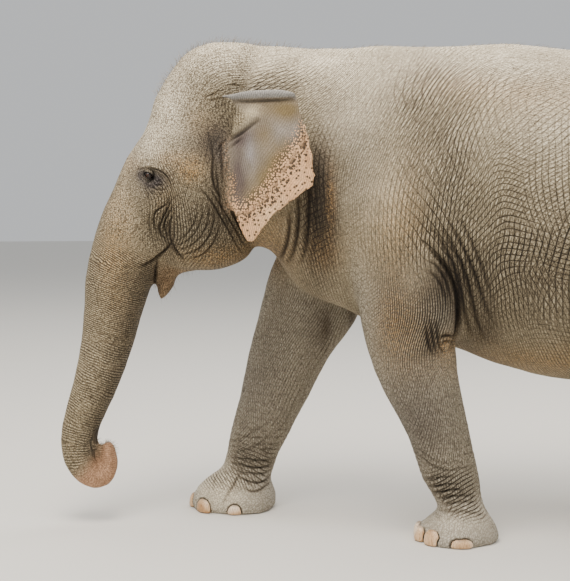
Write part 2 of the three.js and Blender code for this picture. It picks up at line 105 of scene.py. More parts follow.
def activate(piece):
    bpy.ops.object.select_all(action="DESELECT")
    piece.select_set(True)
    bpy.context.view_layer.objects.active = piece


def applyModifier(piece, kind, **settings):
    activate(piece)
    modifier = piece.modifiers.new(kind.title(), kind)
    for name, value in settings.items():
        setattr(modifier, name, value)
    bpy.ops.object.modifier_apply(modifier=modifier.name)


# camera
cameraSetup = {"away": 6.2, "height": 1.55, "down": 3.613, "lens": 78.0}
bpy.ops.object.camera_add(
    location=(-chestX, -cameraSetup["away"], cameraSetup["height"]),
    rotation=(math.radians(90 - cameraSetup["down"]), 0, 0),
)
scene.camera = bpy.context.object
scene.camera.data.lens = cameraSetup["lens"]
scene.camera.data.clip_end = 200

# floor and light
studio = {
    "world": "#e6e8ea", "worldStrength": 0.78,
    "lights": [  # place, where it points, size, watts, colour
        ((0.0, 0.0, 11.0), (0, 0.001, 1.2), 22.0, 2350, "#fffaf2"),
        ((-1.6, -2.6, 6.6), (0, 0, 1.2), 3.0, 430, "#fff6ea"),
        ((-3.5, -6.5, 3.4), (-0.4, 0, 1.2), 4.0, 60, "#f4f6ff"),
        ((3.5, 4.5, 5.0), (0.3, 0, 1.2), 4.0, 120, "#fff4e6"),
    ],
}
bpy.ops.mesh.primitive_circle_add(vertices=128, radius=60, fill_type="NGON", location=(0, 0, -0.0006))
floor = bpy.context.object
floor.name = "studio_floor"
paint, tree = newMaterial("matt painted screed")  # flat, dry and pale, with a faint cloudiness
cloud = addNode(tree, "ShaderNodeTexNoise", {"Scale": 0.8, "Detail": 4.0})
tone = addNode(
    tree, "ShaderNodeValToRGB", {"stops": [(0.3, "#dad7d0"), (0.7, "#e0ddd7")], "Fac": cloud.outputs["Fac"]}
)
dress(tree, {"Base Color": tone.outputs["Color"], "Roughness": 0.9})
floor.data.materials.append(paint)

scene.world = bpy.data.worlds.new("soft studio")
scene.world.use_nodes = True
sky = scene.world.node_tree.nodes["Background"]
sky.inputs["Color"].default_value = linear(studio["world"])
sky.inputs["Strength"].default_value = studio["worldStrength"]
for number, (place, aim, size, power, colour) in enumerate(studio["lights"]):
    bpy.ops.object.light_add(type="AREA", location=place)
    light = bpy.context.object
    light.name = f"softbox_{number + 1}"
    light.data.size = size
    light.data.energy = power
    light.data.color = linear(colour)[:3]
    direction = np.array(aim, float) - np.array(place, float)
    flat = math.hypot(direction[0], direction[1])
    light.rotation_euler = (math.atan2(flat, -direction[2]), 0, math.atan2(-direction[0], direction[1]))
print("camera, floor and light are up")


# what shapes the flesh: points of a mesh in and out, smoothing, drawn lines and soft noise
def readPoints(mesh):
    flat = np.empty(len(mesh.vertices) * 3, np.float32)
    mesh.vertices.foreach_get("co", flat)
    return flat.reshape(-1, 3).astype(float)


def writePoints(mesh, points):
    mesh.vertices.foreach_set("co", points.astype(np.float32).ravel())
    mesh.update()


def readNormals(mesh):
    flat = np.empty(len(mesh.vertices) * 3, np.float32)
    mesh.vertex_normals.foreach_get("vector", flat)
    return flat.reshape(-1, 3).astype(float)


def readMask(mesh, name):
    values = np.empty(len(mesh.vertices), np.float32)
    mesh.attributes[name].data.foreach_get("value", values)
    return values.astype(float)


def writeMask(mesh, name, values):
    layer = mesh.attributes.get(name) or mesh.attributes.new(name, "FLOAT", "POINT")
    layer.data.foreach_set("value", np.ascontiguousarray(values, np.float32))


def writePlaces(mesh, name, places):
    layer = mesh.attributes.new(name, "FLOAT_VECTOR", "POINT")
    layer.data.foreach_set("vector", places.astype(np.float32).ravel())


def toAnimal(points):  # model metres to mm, counted from the front of the chest
    return points * 1000 + np.array([chestX * 1000, 0, 0])


def toModel(places):
    return (places - np.array([chestX * 1000, 0, 0])) / 1000


def nearTable(mesh):  # for each vertex, the vertices it shares an edge with
    edges = np.empty(len(mesh.edges) * 2, np.int32)
    mesh.edges.foreach_get("vertices", edges)
    edges = edges.reshape(-1, 2)
    both = np.concatenate([edges, edges[:, ::-1]])
    both = both[np.argsort(both[:, 0], kind="stable")]
    degree = np.bincount(both[:, 0], minlength=len(mesh.vertices))
    slot = np.arange(len(both)) - (np.cumsum(degree) - degree)[both[:, 0]]
    table = np.repeat(np.arange(len(mesh.vertices))[:, None], degree.max(), 1)
    table[both[:, 0], slot] = both[:, 1]
    return table, np.maximum(degree, 1)[:, None]


def soften(values, near, steps, rate=0.7):
    table, degree = near
    values = values.reshape(len(values), -1).copy()
    steps = np.broadcast_to(steps, len(values))
    for step in range(int(np.ceil(steps.max()))):
        some = np.nonzero(steps > step)[0]
        spare = table.shape[1] - degree[some]
        mean = (values[table[some]].sum(1) - spare * values[some]) / degree[some]
        pull = rate * np.clip(steps[some] - step, 0, 1)[:, None]
        values[some] += pull * (mean - values[some])
    return values


def rounded(line):  # cuts the corners of a drawn line
    line = np.array(line, float)
    for _ in range(2):
        early = 0.75 * line[:-1] + 0.25 * line[1:]
        late = 0.25 * line[:-1] + 0.75 * line[1:]
        line = np.concatenate([line[:1], np.stack([early, late], 1).reshape(-1, 2), line[-1:]])
    return line


def alongLine(flat, line):  # distance to a drawn line, and how far along it from 0 to 1
    line = rounded(line)
    best, share = np.full(len(flat), 1e9), np.zeros(len(flat))
    lengths = np.hypot(*np.diff(line, axis=0).T)
    done = 0
    for start, end, length in zip(line[:-1], line[1:], lengths):
        part = np.clip((flat - start) @ (end - start) / length ** 2, 0, 1)
        gap = np.hypot(*(flat - start - part[:, None] * (end - start)).T)
        closer = gap < best
        best[closer] = gap[closer]
        share[closer] = (done + part[closer] * length) / lengths.sum()
        done += length
    return best, share


def smoothStep(value, low, high):
    share = np.clip((value - low) / (high - low), 0, 1)
    return share * share * (3 - 2 * share)


def cloudNoise(places, size, seed):  # soft value noise from -1 to 1, with lumps of about that size
    cell = places / size
    base = np.floor(cell).astype(np.int64)
    part = cell - base
    part = part * part * (3 - 2 * part)
    total = np.zeros(len(places))
    for corner in range(8):
        step = np.array([corner & 1, corner >> 1 & 1, corner >> 2 & 1])
        key = (base + step) @ np.array([73856093, 19349663, 83492791]) + seed * 2654435
        key = (key ^ (key >> 13)) * 1274126177 & 0xFFFFFFFF
        value = ((key ^ (key >> 16)) & 0xFFFF) / 32767.5 - 1
        weight = np.prod(np.where(step, part, 1 - part), axis=1)
        total += weight * value
    return total


# the skin: one hide over all the flesh
skinSetup = {
    "voxel": 0.016,
    "overlap": 0.0015,  # grown by this, the pieces of flesh reach into each other
    "earGrow": 0.0065,  # the ears are grown for the remesh, and thinned again after it
    "triangles": 196000, "faceShare": 0.00003,
    "soft": {  # how far the facets of each region are smoothed, in mm
        "torso": 58, "neck": 48, "head": 30, "lower_jaw": 15, "trunk_upper": 34, "trunk_middle": 24,
        "trunk_lower": 17,
        "trunk_tip": 12, "ear": 9, "upper": 36, "lower": 24, "foot": 14, "tail": 9, "eye": 20,
    },
    "proud": {"torso": 3, "neck": 3, "head": 1.5, "upper": 1.5, "trunk_upper": 1.5},  # mm outside the solids
}
regions = {
    "torso": ["torso_front", "torso_rear"], "neck": ["neck"], "head": ["head"], "lower_jaw": ["lower_jaw"],
    "trunk_upper": ["trunk_upper"], "trunk_middle": ["trunk_middle"], "trunk_lower": ["trunk_lower"],
    "trunk_tip": ["trunk_tip"], "ear": ["ear_left", "ear_right"], "tail": ["tail"],
    "eye": ["eye_left", "eye_right"],
    "upper": [name for name in parts if name.startswith("leg_") and name.endswith("_upper")],
    "lower": [name for name in parts if name.startswith("leg_") and name.endswith("_lower")],
    "foot": [name for name in parts if name.startswith("foot_")],
}
fleshNodes = sorted(name for region, names in regions.items() for name in names if region != "eye")


def copyOfNode(name, grow):
    mesh = parts[name].data.copy()
    shape = bmesh.new()
    shape.from_mesh(mesh)
    bmesh.ops.remove_doubles(shape, verts=shape.verts, dist=0.00002)
    shape.normal_update()
    for vertex in shape.verts:
        vertex.co += vertex.normal * grow
    shape.to_mesh(mesh)
    shape.free()
    mesh.materials.clear()
    piece = bpy.data.objects.new(f"{name}_copy", mesh)
    scene.collection.objects.link(piece)
    return piece


copies = [
    copyOfNode(name, skinSetup["earGrow"] if region == "ear" else skinSetup["overlap"])
    for region, names in regions.items() for name in names
]
bpy.ops.object.select_all(action="DESELECT")
for piece in copies:
    piece.select_set(True)
bpy.context.view_layer.objects.active = copies[0]
bpy.ops.object.join()
skin = bpy.context.object
skin.name = "hide"
applyModifier(skin, "REMESH", mode="VOXEL", voxel_size=skinSetup["voxel"], adaptivity=0.0)
print("remeshed flesh:", len(skin.data.vertices), "vertices")


def searchTree(names):  # the faces of those CAD nodes, to find the nearest of them, and whose each face is
    corners, faces, owner = [], [], []
    for name in names:
        mesh = parts[name].data
        base = len(corners)
        corners += [tuple(v.co) for v in mesh.vertices]
        faces += [tuple(base + i for i in p.vertices) for p in mesh.polygons]
        owner += [name] * len(mesh.polygons)
    return BVHTree.FromPolygons(corners, faces), owner


regionNames = list(regions)
regionNumber = {name: number for number, names in enumerate(regions.values()) for name in names}
solids, owner = searchTree(regionNumber)


def nearestSolid(points):  # the region that each point belongs to, and how far it lies outside the solids
    region, above = np.zeros(len(points), int), np.zeros(len(points))
    for i, point in enumerate(points.tolist()):
        place, normal, face, gap = solids.find_nearest(point)
        region[i] = regionNumber[owner[face]]
        outward = sum((point[k] - place[k]) * normal[k] for k in range(3))
        above[i] = math.copysign(gap, outward)
    return region, above


points = readPoints(skin.data)
near = nearTable(skin.data)
regionOf, _ = nearestSolid(points)
reach = np.array([skinSetup["soft"][name] for name in regionNames], float)[regionOf]
reach = np.sqrt(soften(reach ** 2, near, 12)[:, 0])
steps = 2 * (reach / 1000) ** 2 / (0.7 * skinSetup["voxel"] ** 2)
once = soften(points, near, steps)
twice = soften(once, near, steps)
points = 2 * once - twice  # smooths the facets, but keeps the broad forms
masks = {name: soften((regionOf == i).astype(float), near, 8)[:, 0] for i, name in enumerate(regionNames)}
writePoints(skin.data, points)
normals = readNormals(skin.data)
_, above = nearestSolid(points)
above = soften(np.clip(above, -0.009, 0.009), near, 25)[:, 0]
proud = sum(most * masks[name] for name, most in skinSetup["proud"].items()) / 1000
points += normals * (proud - above)[:, None]
writePoints(skin.data, points)
for name, values in masks.items():
    writeMask(skin.data, name, values)
print("smoothed flesh")

# closer mesh on the head, and twice more round the eyes
eyePlace = {"x": -642, "y": 243, "z": 1719, "radius": 21, "finer": (50, 34)}  # mm; cut once more within each
shape = bmesh.new()
shape.from_mesh(skin.data)
headLayer = shape.verts.layers.float["head"]
jawLayer = shape.verts.layers.float["lower_jaw"]
chosen = {
    edge for vertex in shape.verts if vertex[headLayer] + vertex[jawLayer] > 0.35 for edge in vertex.link_edges
}
bmesh.ops.subdivide_edges(shape, edges=list(chosen), cuts=1, use_grid_fill=True)
for wide in eyePlace["finer"]:
    chosen = {
        edge for vertex in shape.verts if 0.15 < abs(vertex.co.y) < 0.4 and math.hypot(
            (vertex.co.x + chestX) * 1000 - eyePlace["x"], vertex.co.z * 1000 - eyePlace["z"]
        ) < wide for edge in vertex.link_edges
    }
    bmesh.ops.subdivide_edges(shape, edges=list(chosen), cuts=1, use_grid_fill=True)
shape.to_mesh(skin.data)
shape.free()
applyModifier(skin, "SUBSURF", levels=1, render_levels=1)
print("subdivided hide:", len(skin.data.vertices), "vertices")

points = readPoints(skin.data)
normals = readNormals(skin.data)
masks = {name: readMask(skin.data, name) for name in regionNames}
places = toAnimal(points)
side = places[:, [0, 2]]
facing = smoothStep(np.abs(normals[:, 1]), 0.1, 0.45)
face = np.clip(masks["head"] + masks["lower_jaw"] + masks["trunk_upper"] + masks["neck"] + masks["eye"], 0, 1)
legMask = masks["upper"] + masks["lower"] + masks["foot"]
bodyMask = np.clip(masks["torso"] + masks["neck"] + masks["upper"], 0, 1)
rise = np.zeros(len(points))
# crease: how deep in a fold each point lies; the hide's material darkens it with painted shade and dirt
crease = np.zeros(len(points))

# drawn folds: line in mm, depth, half width, height of the banks, on which part
folds = {
    "face": [
        ([(-702, 1743), (-664, 1754), (-611, 1749), (-561, 1726), (-528, 1678), (-530, 1625)], 6, 4, 3),
        ([(-664, 1745), (-626, 1743), (-590, 1729), (-573, 1707)], 4, 3, 1.5),
        ([(-614, 1695), (-591, 1688), (-575, 1697)], 3, 3, 1),
        ([(-622, 1681), (-595, 1669), (-555, 1674)], 4, 3, 1.5),
        ([(-636, 1672), (-611, 1652), (-576, 1647), (-547, 1656)], 4, 3, 1.5),
        ([(-648, 1663), (-635, 1637), (-603, 1624), (-559, 1632)], 3, 3, 1.5),
        ([(-665, 1684), (-658, 1654), (-648, 1625), (-632, 1600)], 3, 3, 1.5),
        ([(-532, 1625), (-550, 1584), (-583, 1564), (-609, 1549), (-621, 1519), (-617, 1472), (-602, 1431)],
         7, 4.5, 3),
        ([(-525, 1619), (-541, 1578), (-577, 1514), (-599, 1467), (-586, 1431), (-554, 1412)], 9, 5, 4),
        ([(-521, 1578), (-553, 1525), (-574, 1484), (-564, 1449), (-543, 1424)], 7, 4.5, 3),
        ([(-518, 1543), (-539, 1508), (-551, 1472), (-543, 1443), (-539, 1419)], 6, 4, 3),
        ([(-633, 1555), (-645, 1508), (-642, 1461), (-628, 1414)], 4, 4, 2),
        ([(-702, 1285), (-655, 1300), (-608, 1336), (-563, 1369), (-539, 1402), (-539, 1426)], 15, 6, 5),
        ([(-541, 1414), (-528, 1378), (-504, 1343), (-478, 1319)], 12, 6, 4),
        ([(-533, 1406), (-504, 1411), (-470, 1432), (-437, 1471), (-415, 1519), (-409, 1566), (-420, 1602)],
         5, 3.8, 2.5),
        ([(-529, 1387), (-494, 1391), (-453, 1414), (-417, 1454), (-391, 1507), (-383, 1559), (-391, 1602)],
         6, 3.8, 2.5),
        ([(-520, 1366), (-482, 1370), (-435, 1391), (-394, 1431), (-365, 1484), (-353, 1542), (-360, 1590)],
         6, 4, 3),
        ([(-503, 1343), (-459, 1349), (-412, 1368), (-371, 1408), (-342, 1461), (-331, 1519), (-334, 1571)],
         7, 4, 3),
        ([(-479, 1322), (-425, 1330), (-376, 1353), (-337, 1401), (-311, 1459), (-307, 1507)], 6, 4, 3),
        ([(-402, 1659), (-365, 1624), (-335, 1583), (-301, 1519), (-267, 1461), (-236, 1401), (-201, 1343)],
         8, 4.5, 3),
        ([(-347, 1649), (-316, 1600), (-287, 1554), (-253, 1495), (-217, 1431), (-189, 1378)], 8, 4.5, 3),
        ([(-331, 1812), (-338, 1736), (-333, 1678), (-315, 1630), (-285, 1595)], 9, 5, 4),
        ([(-285, 1602), (-260, 1565), (-233, 1517), (-209, 1461), (-187, 1402)], 9, 5, 3),
        ([(-222, 1893), (-251, 1855), (-277, 1814), (-301, 1774)], 7, 4.5, 3),
        ([(-257, 1892), (-286, 1869), (-310, 1835), (-319, 1803)], 6, 4, 3),
        ([(-202, 1913), (-228, 1876), (-250, 1832), (-262, 1785), (-274, 1718)], 10, 6, 3),
        ([(-363, 1919), (-345, 1864), (-333, 1800), (-328, 1730)], 5, 4, 2),
        ([(-303, 2116), (-327, 2102), (-350, 2090), (-373, 2081)], 4, 3.5, 1.5),
        ([(-268, 2081), (-309, 2074), (-344, 2067), (-379, 2066)], 4, 3.5, 1.5),
        ([(-289, 2125), (-268, 2136), (-233, 2141), (-187, 2129)], 4, 4, 2),
        ([(-320, 1795), (-315, 1684), (-302, 1578), (-270, 1485), (-228, 1415)], 6, 5, 3.0),
        ([(-290, 1900), (-300, 1850), (-290, 1760), (-288, 1680)], 7, 6, 3.0),
        ([(152, 1991), (175, 1830), (171, 1647), (190, 1462), (171, 1314)], 16, 12, 6.0),
        ([(192, 2035), (220, 1830), (226, 1601), (231, 1417), (208, 1287)], 12, 11, 5.0),
        ([(140, 1850), (146, 1700), (142, 1560), (150, 1420), (120, 1300)], 12, 10, 5.0),
        ([(110, 1760), (112, 1620), (110, 1500), (100, 1380), (70, 1290)], 12, 10, 5.0),
        ([(60, 1640), (64, 1500), (50, 1380), (10, 1290)], 10, 9, 4.0),
        ([(20, 1560), (22, 1450), (0, 1360), (-50, 1290)], 8, 9, 4.0),
        ([(260, 1950), (268, 1800), (262, 1650), (270, 1500)], 5, 10, 3.0),
        ([(-616, 1345), (-617, 1304), (-627, 1256), (-642, 1188), (-650, 1150)], 14, 6, 2.0),
    ],
    "body": [
        ([(629, 1419), (690, 1351), (757, 1260), (795, 1147), (806, 1033), (782, 942), (760, 890)],
         26, 11, 8.0),
        ([(660, 1480), (720, 1400), (775, 1290), (812, 1160), (840, 1040), (880, 960)], 11, 9, 5.0),
        ([(690, 1500), (756, 1400), (812, 1290), (852, 1160), (885, 1040), (935, 946)], 12, 9, 5.0),
        ([(729, 1520), (800, 1400), (860, 1270), (905, 1140), (955, 1038)], 9, 8, 4.0),
        ([(780, 1540), (850, 1400), (905, 1260), (950, 1130)], 6, 8, 3.5),
        ([(657, 1330), (707, 1280), (745, 1210), (765, 1111)], 9, 7, 4),
        ([(640, 1290), (690, 1250), (725, 1190), (745, 1110)], 6, 7, 3.5),
        ([(640, 1050), (652, 954), (671, 898), (723, 852)], 9, 7, 4.5),
        ([(660, 1060), (674, 975), (690, 905), (735, 862)], 9, 7, 4.5),
        ([(689, 1056), (696, 991), (706, 926), (748, 880)], 9, 7, 4.5),
        ([(699, 964), (736, 982), (787, 968)], 9, 7, 4.5),
        ([(712, 940), (740, 955), (775, 945)], 7, 6, 4.0),
    ],
    "leg": [
        ([(646, 256), (692, 270), (766, 292), (822, 284)], 6, 5, 4),
        ([(665, 223), (720, 247), (785, 266), (841, 256)], 8, 5, 5),
        ([(688, 195), (748, 223), (813, 239), (874, 223)], 7, 5, 5),
        ([(632, 284), (692, 313), (757, 320), (803, 313)], 5, 5, 3.5),
        ([(707, 164), (772, 198), (837, 209), (893, 192)], 5, 5, 3.5),
        ([(589, 481), (649, 418), (729, 378), (812, 397)], 3, 5, 2),
        ([(608, 435), (673, 374), (752, 345), (831, 364)], 3.5, 5, 2.5),
        ([(693, 138), (777, 157), (861, 157), (935, 132)], 4, 6, 3),
        ([(-249, 190), (-166, 154), (-104, 154), (-60, 190)], 8, 5, 5),
        ([(-220, 138), (-156, 106), (-70, 146)], 7, 5, 5),
        ([(-306, 275), (-218, 283), (-135, 270), (-50, 257)], 7, 5, 4),
        ([(-291, 310), (-208, 317), (-125, 364), (-52, 427)], 4, 5, 3),
        ([(-280, 257), (-187, 238), (-114, 228), (-52, 251)], 8, 5, 5),
        ([(-259, 217), (-177, 205), (-114, 194), (-58, 220)], 6, 5, 4),
        ([(-301, 354), (-228, 375), (-156, 427), (-52, 490)], 3, 5, 2.5),
        ([(-306, 259), (-333, 217), (-353, 186), (-374, 133)], 5, 5, 3),
        ([(-208, 259), (-239, 186), (-302, 91), (-323, 49)], 5, 6, 3),
    ],
    "ear": [
        ([(-320, 1896), (-255, 1932), (-215, 1962), (-182, 1990), (-150, 2012)], -13, 30, 0),
        ([(-150, 1968), (-132, 1980), (-116, 1990)], -6, 11, 0),
        ([(-290, 1862), (-222, 1896), (-186, 1919), (-152, 1945), (-112, 1966)], 14, 8, 0),
        ([(-262, 1838), (-214, 1872), (-190, 1890)], 7, 5, 2),
        ([(-60, 1990), (-20, 1900), (20, 1800), (40, 1700)], -5, 28, 0),
        ([(-130, 1900), (-100, 1780), (-90, 1660), (-110, 1560)], -4, 25, 0),
        ([(-270, 2052), (-150, 2050), (-20, 2051), (70, 2051)], 15, 7, 0),
        ([(60, 1960), (84, 1880), (100, 1800), (112, 1740)], 4, 9, 3),
    ],
}
outside = normals[:, 1] * np.sign(places[:, 1]) > 0  # inner faces of the legs and ears have no such folds
partOf = {
    "face": face * (1 - masks["ear"]), "body": bodyMask * outside, "leg": legMask, "ear": masks["ear"] * outside,
}
legStep = 450  # the right foreleg, with the folds behind it, is this much further forward, in mm
sideOfArm = side + np.outer(places[:, 1] > 0, [legStep, 0])
for part, drawn in folds.items():
    flat = sideOfArm if part == "body" else side
    for line, deep, wide, bank in drawn:
        low, high = np.min(line, 0) - 4 * wide, np.max(line, 0) + 4 * wide
        some = np.nonzero(((flat > low) & (flat < high)).all(1) & (partOf[part] > 0.01))[0]
        gap, share = alongLine(flat[some], line)
        fade = np.sin(math.pi * np.clip(share, 0, 1)) ** 0.6 * facing[some] * partOf[part][some]
        groove = np.exp(-((gap / wide) ** 2))
        rise[some] += fade * (bank * np.exp(-(((gap - 2.2 * wide) / (1.3 * wide)) ** 2)) - deep * groove)
        crease[some] = np.maximum(crease[some], fade * groove * min(1, deep / 8))

# broad uneven flesh
rise += 5 * cloudNoise(places, 260, 3) * bodyMask
rise += 2.5 * cloudNoise(places, 110, 5) * np.clip(bodyMask + face, 0, 1)
rise += 1.0 * cloudNoise(places, 45, 9) * (1 - masks["ear"])

# folds across the wrists and ankles
for low, high, spacing, deep in ((180, 470, 33, 4.5), (470, 760, 44, 1.6)):
    level = places[:, 2] + 14 * cloudNoise(places, 90, 21) + 6 * cloudNoise(places, 35, 22)
    wave = np.abs(np.sin(math.pi * level / spacing))
    band = smoothStep(places[:, 2], low - 50, low + 30) * (1 - smoothStep(places[:, 2], high - 60, high + 50))
    patch = 0.55 + 0.45 * cloudNoise(places, 120, 25)
    rise += legMask * band * patch * deep * (wave ** 0.6 - 0.75)
    crease = np.maximum(crease, legMask * band * patch * smoothStep(0.35 - wave, 0, 0.35) * deep / 6)

points += normals * (rise / 1000)[:, None]

# each nail lies in a shallow bed, with a raised cuticle round it
nailNodes = sorted(name for name in parts if name.startswith("nail_"))
nails, _ = searchTree(nailNodes)
for i in np.nonzero((masks["foot"] > 0.4) & (points[:, 2] < 0.13))[0]:
    place, normal, face, gap = nails.find_nearest(points[i], 0.03)
    if place is not None:
        gap *= 1000
        cuticle = 3.4 * math.exp(-(((gap - 9) / 5) ** 2))
        bed = 3.5 * math.exp(-((gap / 3.5) ** 2))
        points[i] += normals[i] * (cuticle - bed) / 1000
        crease[i] = max(crease[i], math.exp(-((gap / 4.0) ** 2)))

# the rolled rims of the ears grow thinner towards both ends
places = toAnimal(points)
rollSetup = {"height": 2081, "from": (-290, -150), "to": (-30, 76), "ends": (0.45, 0.34), "step": 20}
for sign in (-1, 1):
    roll = np.nonzero((masks["ear"] > 0.3) & (places[:, 2] > 2044) & (places[:, 1] * sign > 0))[0]
    level = places[roll, 0]
    steps = np.arange(rollSetup["from"][0], rollSetup["to"][1], rollSetup["step"])
    high = roll[places[roll, 2] > 2062]
    nearness = np.exp(-(((places[high, 0][None] - steps[:, None]) / rollSetup["step"]) ** 2)) + 1e-9
    depths = nearness @ places[high, 1] / nearness.sum(1)
    thin = (rollSetup["ends"][0] + (1 - rollSetup["ends"][0]) * smoothStep(level, *rollSetup["from"])) * (
        1 - (1 - rollSetup["ends"][1]) * smoothStep(level, *rollSetup["to"])
    )
    kept = 1 - (1 - thin) * smoothStep(places[roll, 2], 2044, 2060)
    depth = np.interp(level, steps, depths)
    middle = np.stack([level, depth, np.full(len(roll), rollSetup["height"] - 6.0)], 1)
    places[roll] = middle + (places[roll] - middle) * kept[:, None]

# lids round each eye, open over the ball
lidSetup = {"half": 22, "upper": 10, "lower": 13, "slant": -28, "thick": 4.0, "blend": (21, 46)}
slant = math.radians(lidSetup["slant"])
across = (places[:, 0] - eyePlace["x"]) * math.cos(slant) + (places[:, 2] - eyePlace["z"]) * math.sin(slant)
up = (places[:, 2] - eyePlace["z"]) * math.cos(slant) - (places[:, 0] - eyePlace["x"]) * math.sin(slant)
out = np.abs(places[:, 1])
ring = np.hypot(across, up)
aroundEye = (ring < 60) & (out > 190) & (out < 330)
openness = (np.abs(across) / lidSetup["half"]) ** 1.7 + (
    np.abs(up) / np.where(up > 0, lidSetup["upper"], lidSetup["lower"])
) ** 1.9
ball = eyePlace["radius"] + lidSetup["thick"] + 1.5 * np.exp(-(((openness - 1.35) / 0.3) ** 2))
lidOut = eyePlace["y"] + np.sqrt(np.maximum(ball ** 2 - ring ** 2, 0))
blendLid = 1 - smoothStep(ring, *lidSetup["blend"])
target = out * (1 - blendLid) + lidOut * blendLid
inside = 1 - smoothStep(openness, 0.82, 1.04)
target = target * (1 - inside) + (eyePlace["y"] - 8) * inside
out = np.where(aroundEye, target, out)
places[:, 1] = np.sign(places[:, 1]) * out
lidRim = np.exp(-(((openness - 1.1) / 0.25) ** 2)) * aroundEye
crease = np.maximum(crease, 0.9 * lidRim)
points = toModel(places)

# the soles stay flat on the ground
points[:, 2] = np.maximum(points[:, 2], 0)
writePoints(skin.data, points)
writeMask(skin.data, "crease", crease)
writeMask(skin.data, "lidRim", np.exp(-((np.maximum(openness - 1.0, 0) / 1.5) ** 2)) * aroundEye)
print("sculpted hide")

# fewer triangles, with more of them kept on the face
count = sum(len(p.vertices) - 2 for p in skin.data.polygons)
keep = skin.vertex_groups.new(name="keep")
keep.add(list(range(len(points))), 1.0, "REPLACE")
onFace = np.nonzero((masks["head"] + masks["lower_jaw"] > 0.3) & (facing > 0.3))[0]
keep.add([int(i) for i in onFace], 0.5, "REPLACE")
applyModifier(
    skin, "DECIMATE", ratio=min(1, skinSetup["triangles"] / count), use_collapse_triangulate=True,
    vertex_group="keep", vertex_group_factor=skinSetup["faceShare"],
)
skin.vertex_groups.clear()
activate(skin)
bpy.ops.object.shade_smooth()
print("hide:", len(skin.data.polygons), "triangles")

# lines that the wrinkles of the hide follow: place in mm, and slope from 0 to the rear, 90 up, 180 forward
flowRows = [
    (772, 1147, 118), (696, 1353, 120), (646, 1599, 115), (625, 1822, 115), (584, 2048, 100), (548, 2215, 60),
    (826, 1376, 112), (799, 1599, 112), (755, 1820, 118), (696, 2048, 110), (662, 2192, 98), (932, 1010, 100),
    (916, 1242, 108), (888, 1510, 95), (864, 1731, 100), (855, 1959, 80), (845, 2170, 60), (1046, 919, 90),
    (1029, 1153, 75), (1023, 1377, 34), (1043, 1599, 24), (1041, 1775, 14), (1056, 2003, 38),
    (1073, 2192, 20), (1240, 867, 60), (1209, 1108, 42), (1202, 1332, 32), (1211, 1599, 18), (1209, 1775, 8),
    (1227, 2003, 20), (1246, 2192, 8), (453, 1374, 98), (429, 1600, 92), (405, 1824, 88), (394, 2052, 80),
    (365, 2192, 70), (297, 1372, 88), (273, 1600, 85), (252, 1829, 75), (252, 2058, 60), (207, 2198, 50),
    (164, 1321, 75), (185, 1509, 80), (170, 1693, 82), (152, 1877, 60), (93, 2109, 40), (621, 1141, 95),
    (528, 1279, 90), (369, 1232, 90), (393, 1047, 95), (532, 1001, 80), (648, 1001, 70), (713, 1187, 140),
    (666, 1279, 150), (754, 954, 100), (721, 835, 110), (535, 718, 150), (675, 671, 150), (794, 668, 130),
    (585, 574, 152), (727, 478, 155), (821, 431, 140), (731, 284, 165), (779, 188, 175), (849, 284, 160),
    (686, 45, 90), (875, 45, 80), (-78, 934, 75), (78, 986, 62), (-130, 674, 85), (26, 674, 75),
    (130, 830, 65), (-182, 411, 80), (-78, 411, 70), (-235, 253, 20), (-183, 148, 10), (-392, 42, 50),
    (-183, -11, 30), (-330, 2308, 0), (-164, 2279, 0), (23, 2250, 10), (-496, 2168, 60), (-398, 2186, 40),
    (-280, 2183, 20), (-568, 2027, 100), (-491, 1974, 110), (-372, 2019, 120), (-642, 1840, 115),
    (-564, 1836, 130), (-443, 1857, 100), (-348, 1879, 90), (-742, 1698, 110), (-796, 1507, 105),
    (-821, 1362, 100), (-714, 1507, 100), (-691, 1365, 60), (-641, 1413, 95), (-563, 1601, 105),
    (-564, 1484, 100), (-465, 1601, 75), (-372, 1647, 90), (-326, 1508, 85), (-492, 1391, 130),
    (-419, 1415, 120), (-399, 1311, 170), (-258, 1344, 160), (-466, 1485, 120), (-141, 1377, 120),
    (0, 1462, 95), (70, 1369, 100), (-255, 1925, 90), (-292, 1786, 95), (-607, 1192, 80),
    # finished from the species: rump, hind legs and tail
    (1500, 950, 95), (1480, 1250, 50), (1480, 1550, 30), (1480, 1850, 20), (1500, 2150, 5), (1800, 900, 95),
    (1800, 1200, 85), (1780, 1500, 75), (1780, 1800, 55), (1800, 2100, 0), (2100, 900, 90), (2120, 1200, 90),
    (2130, 1500, 85), (2150, 1800, 70), (2150, 2050, -20), (2380, 1500, 95), (2380, 1100, 95),
    (1650, 600, 80), (1900, 600, 90), (2150, 600, 95), (1600, 300, 20), (1900, 300, 10), (2250, 300, 20),
    (2400, 800, 95),
]
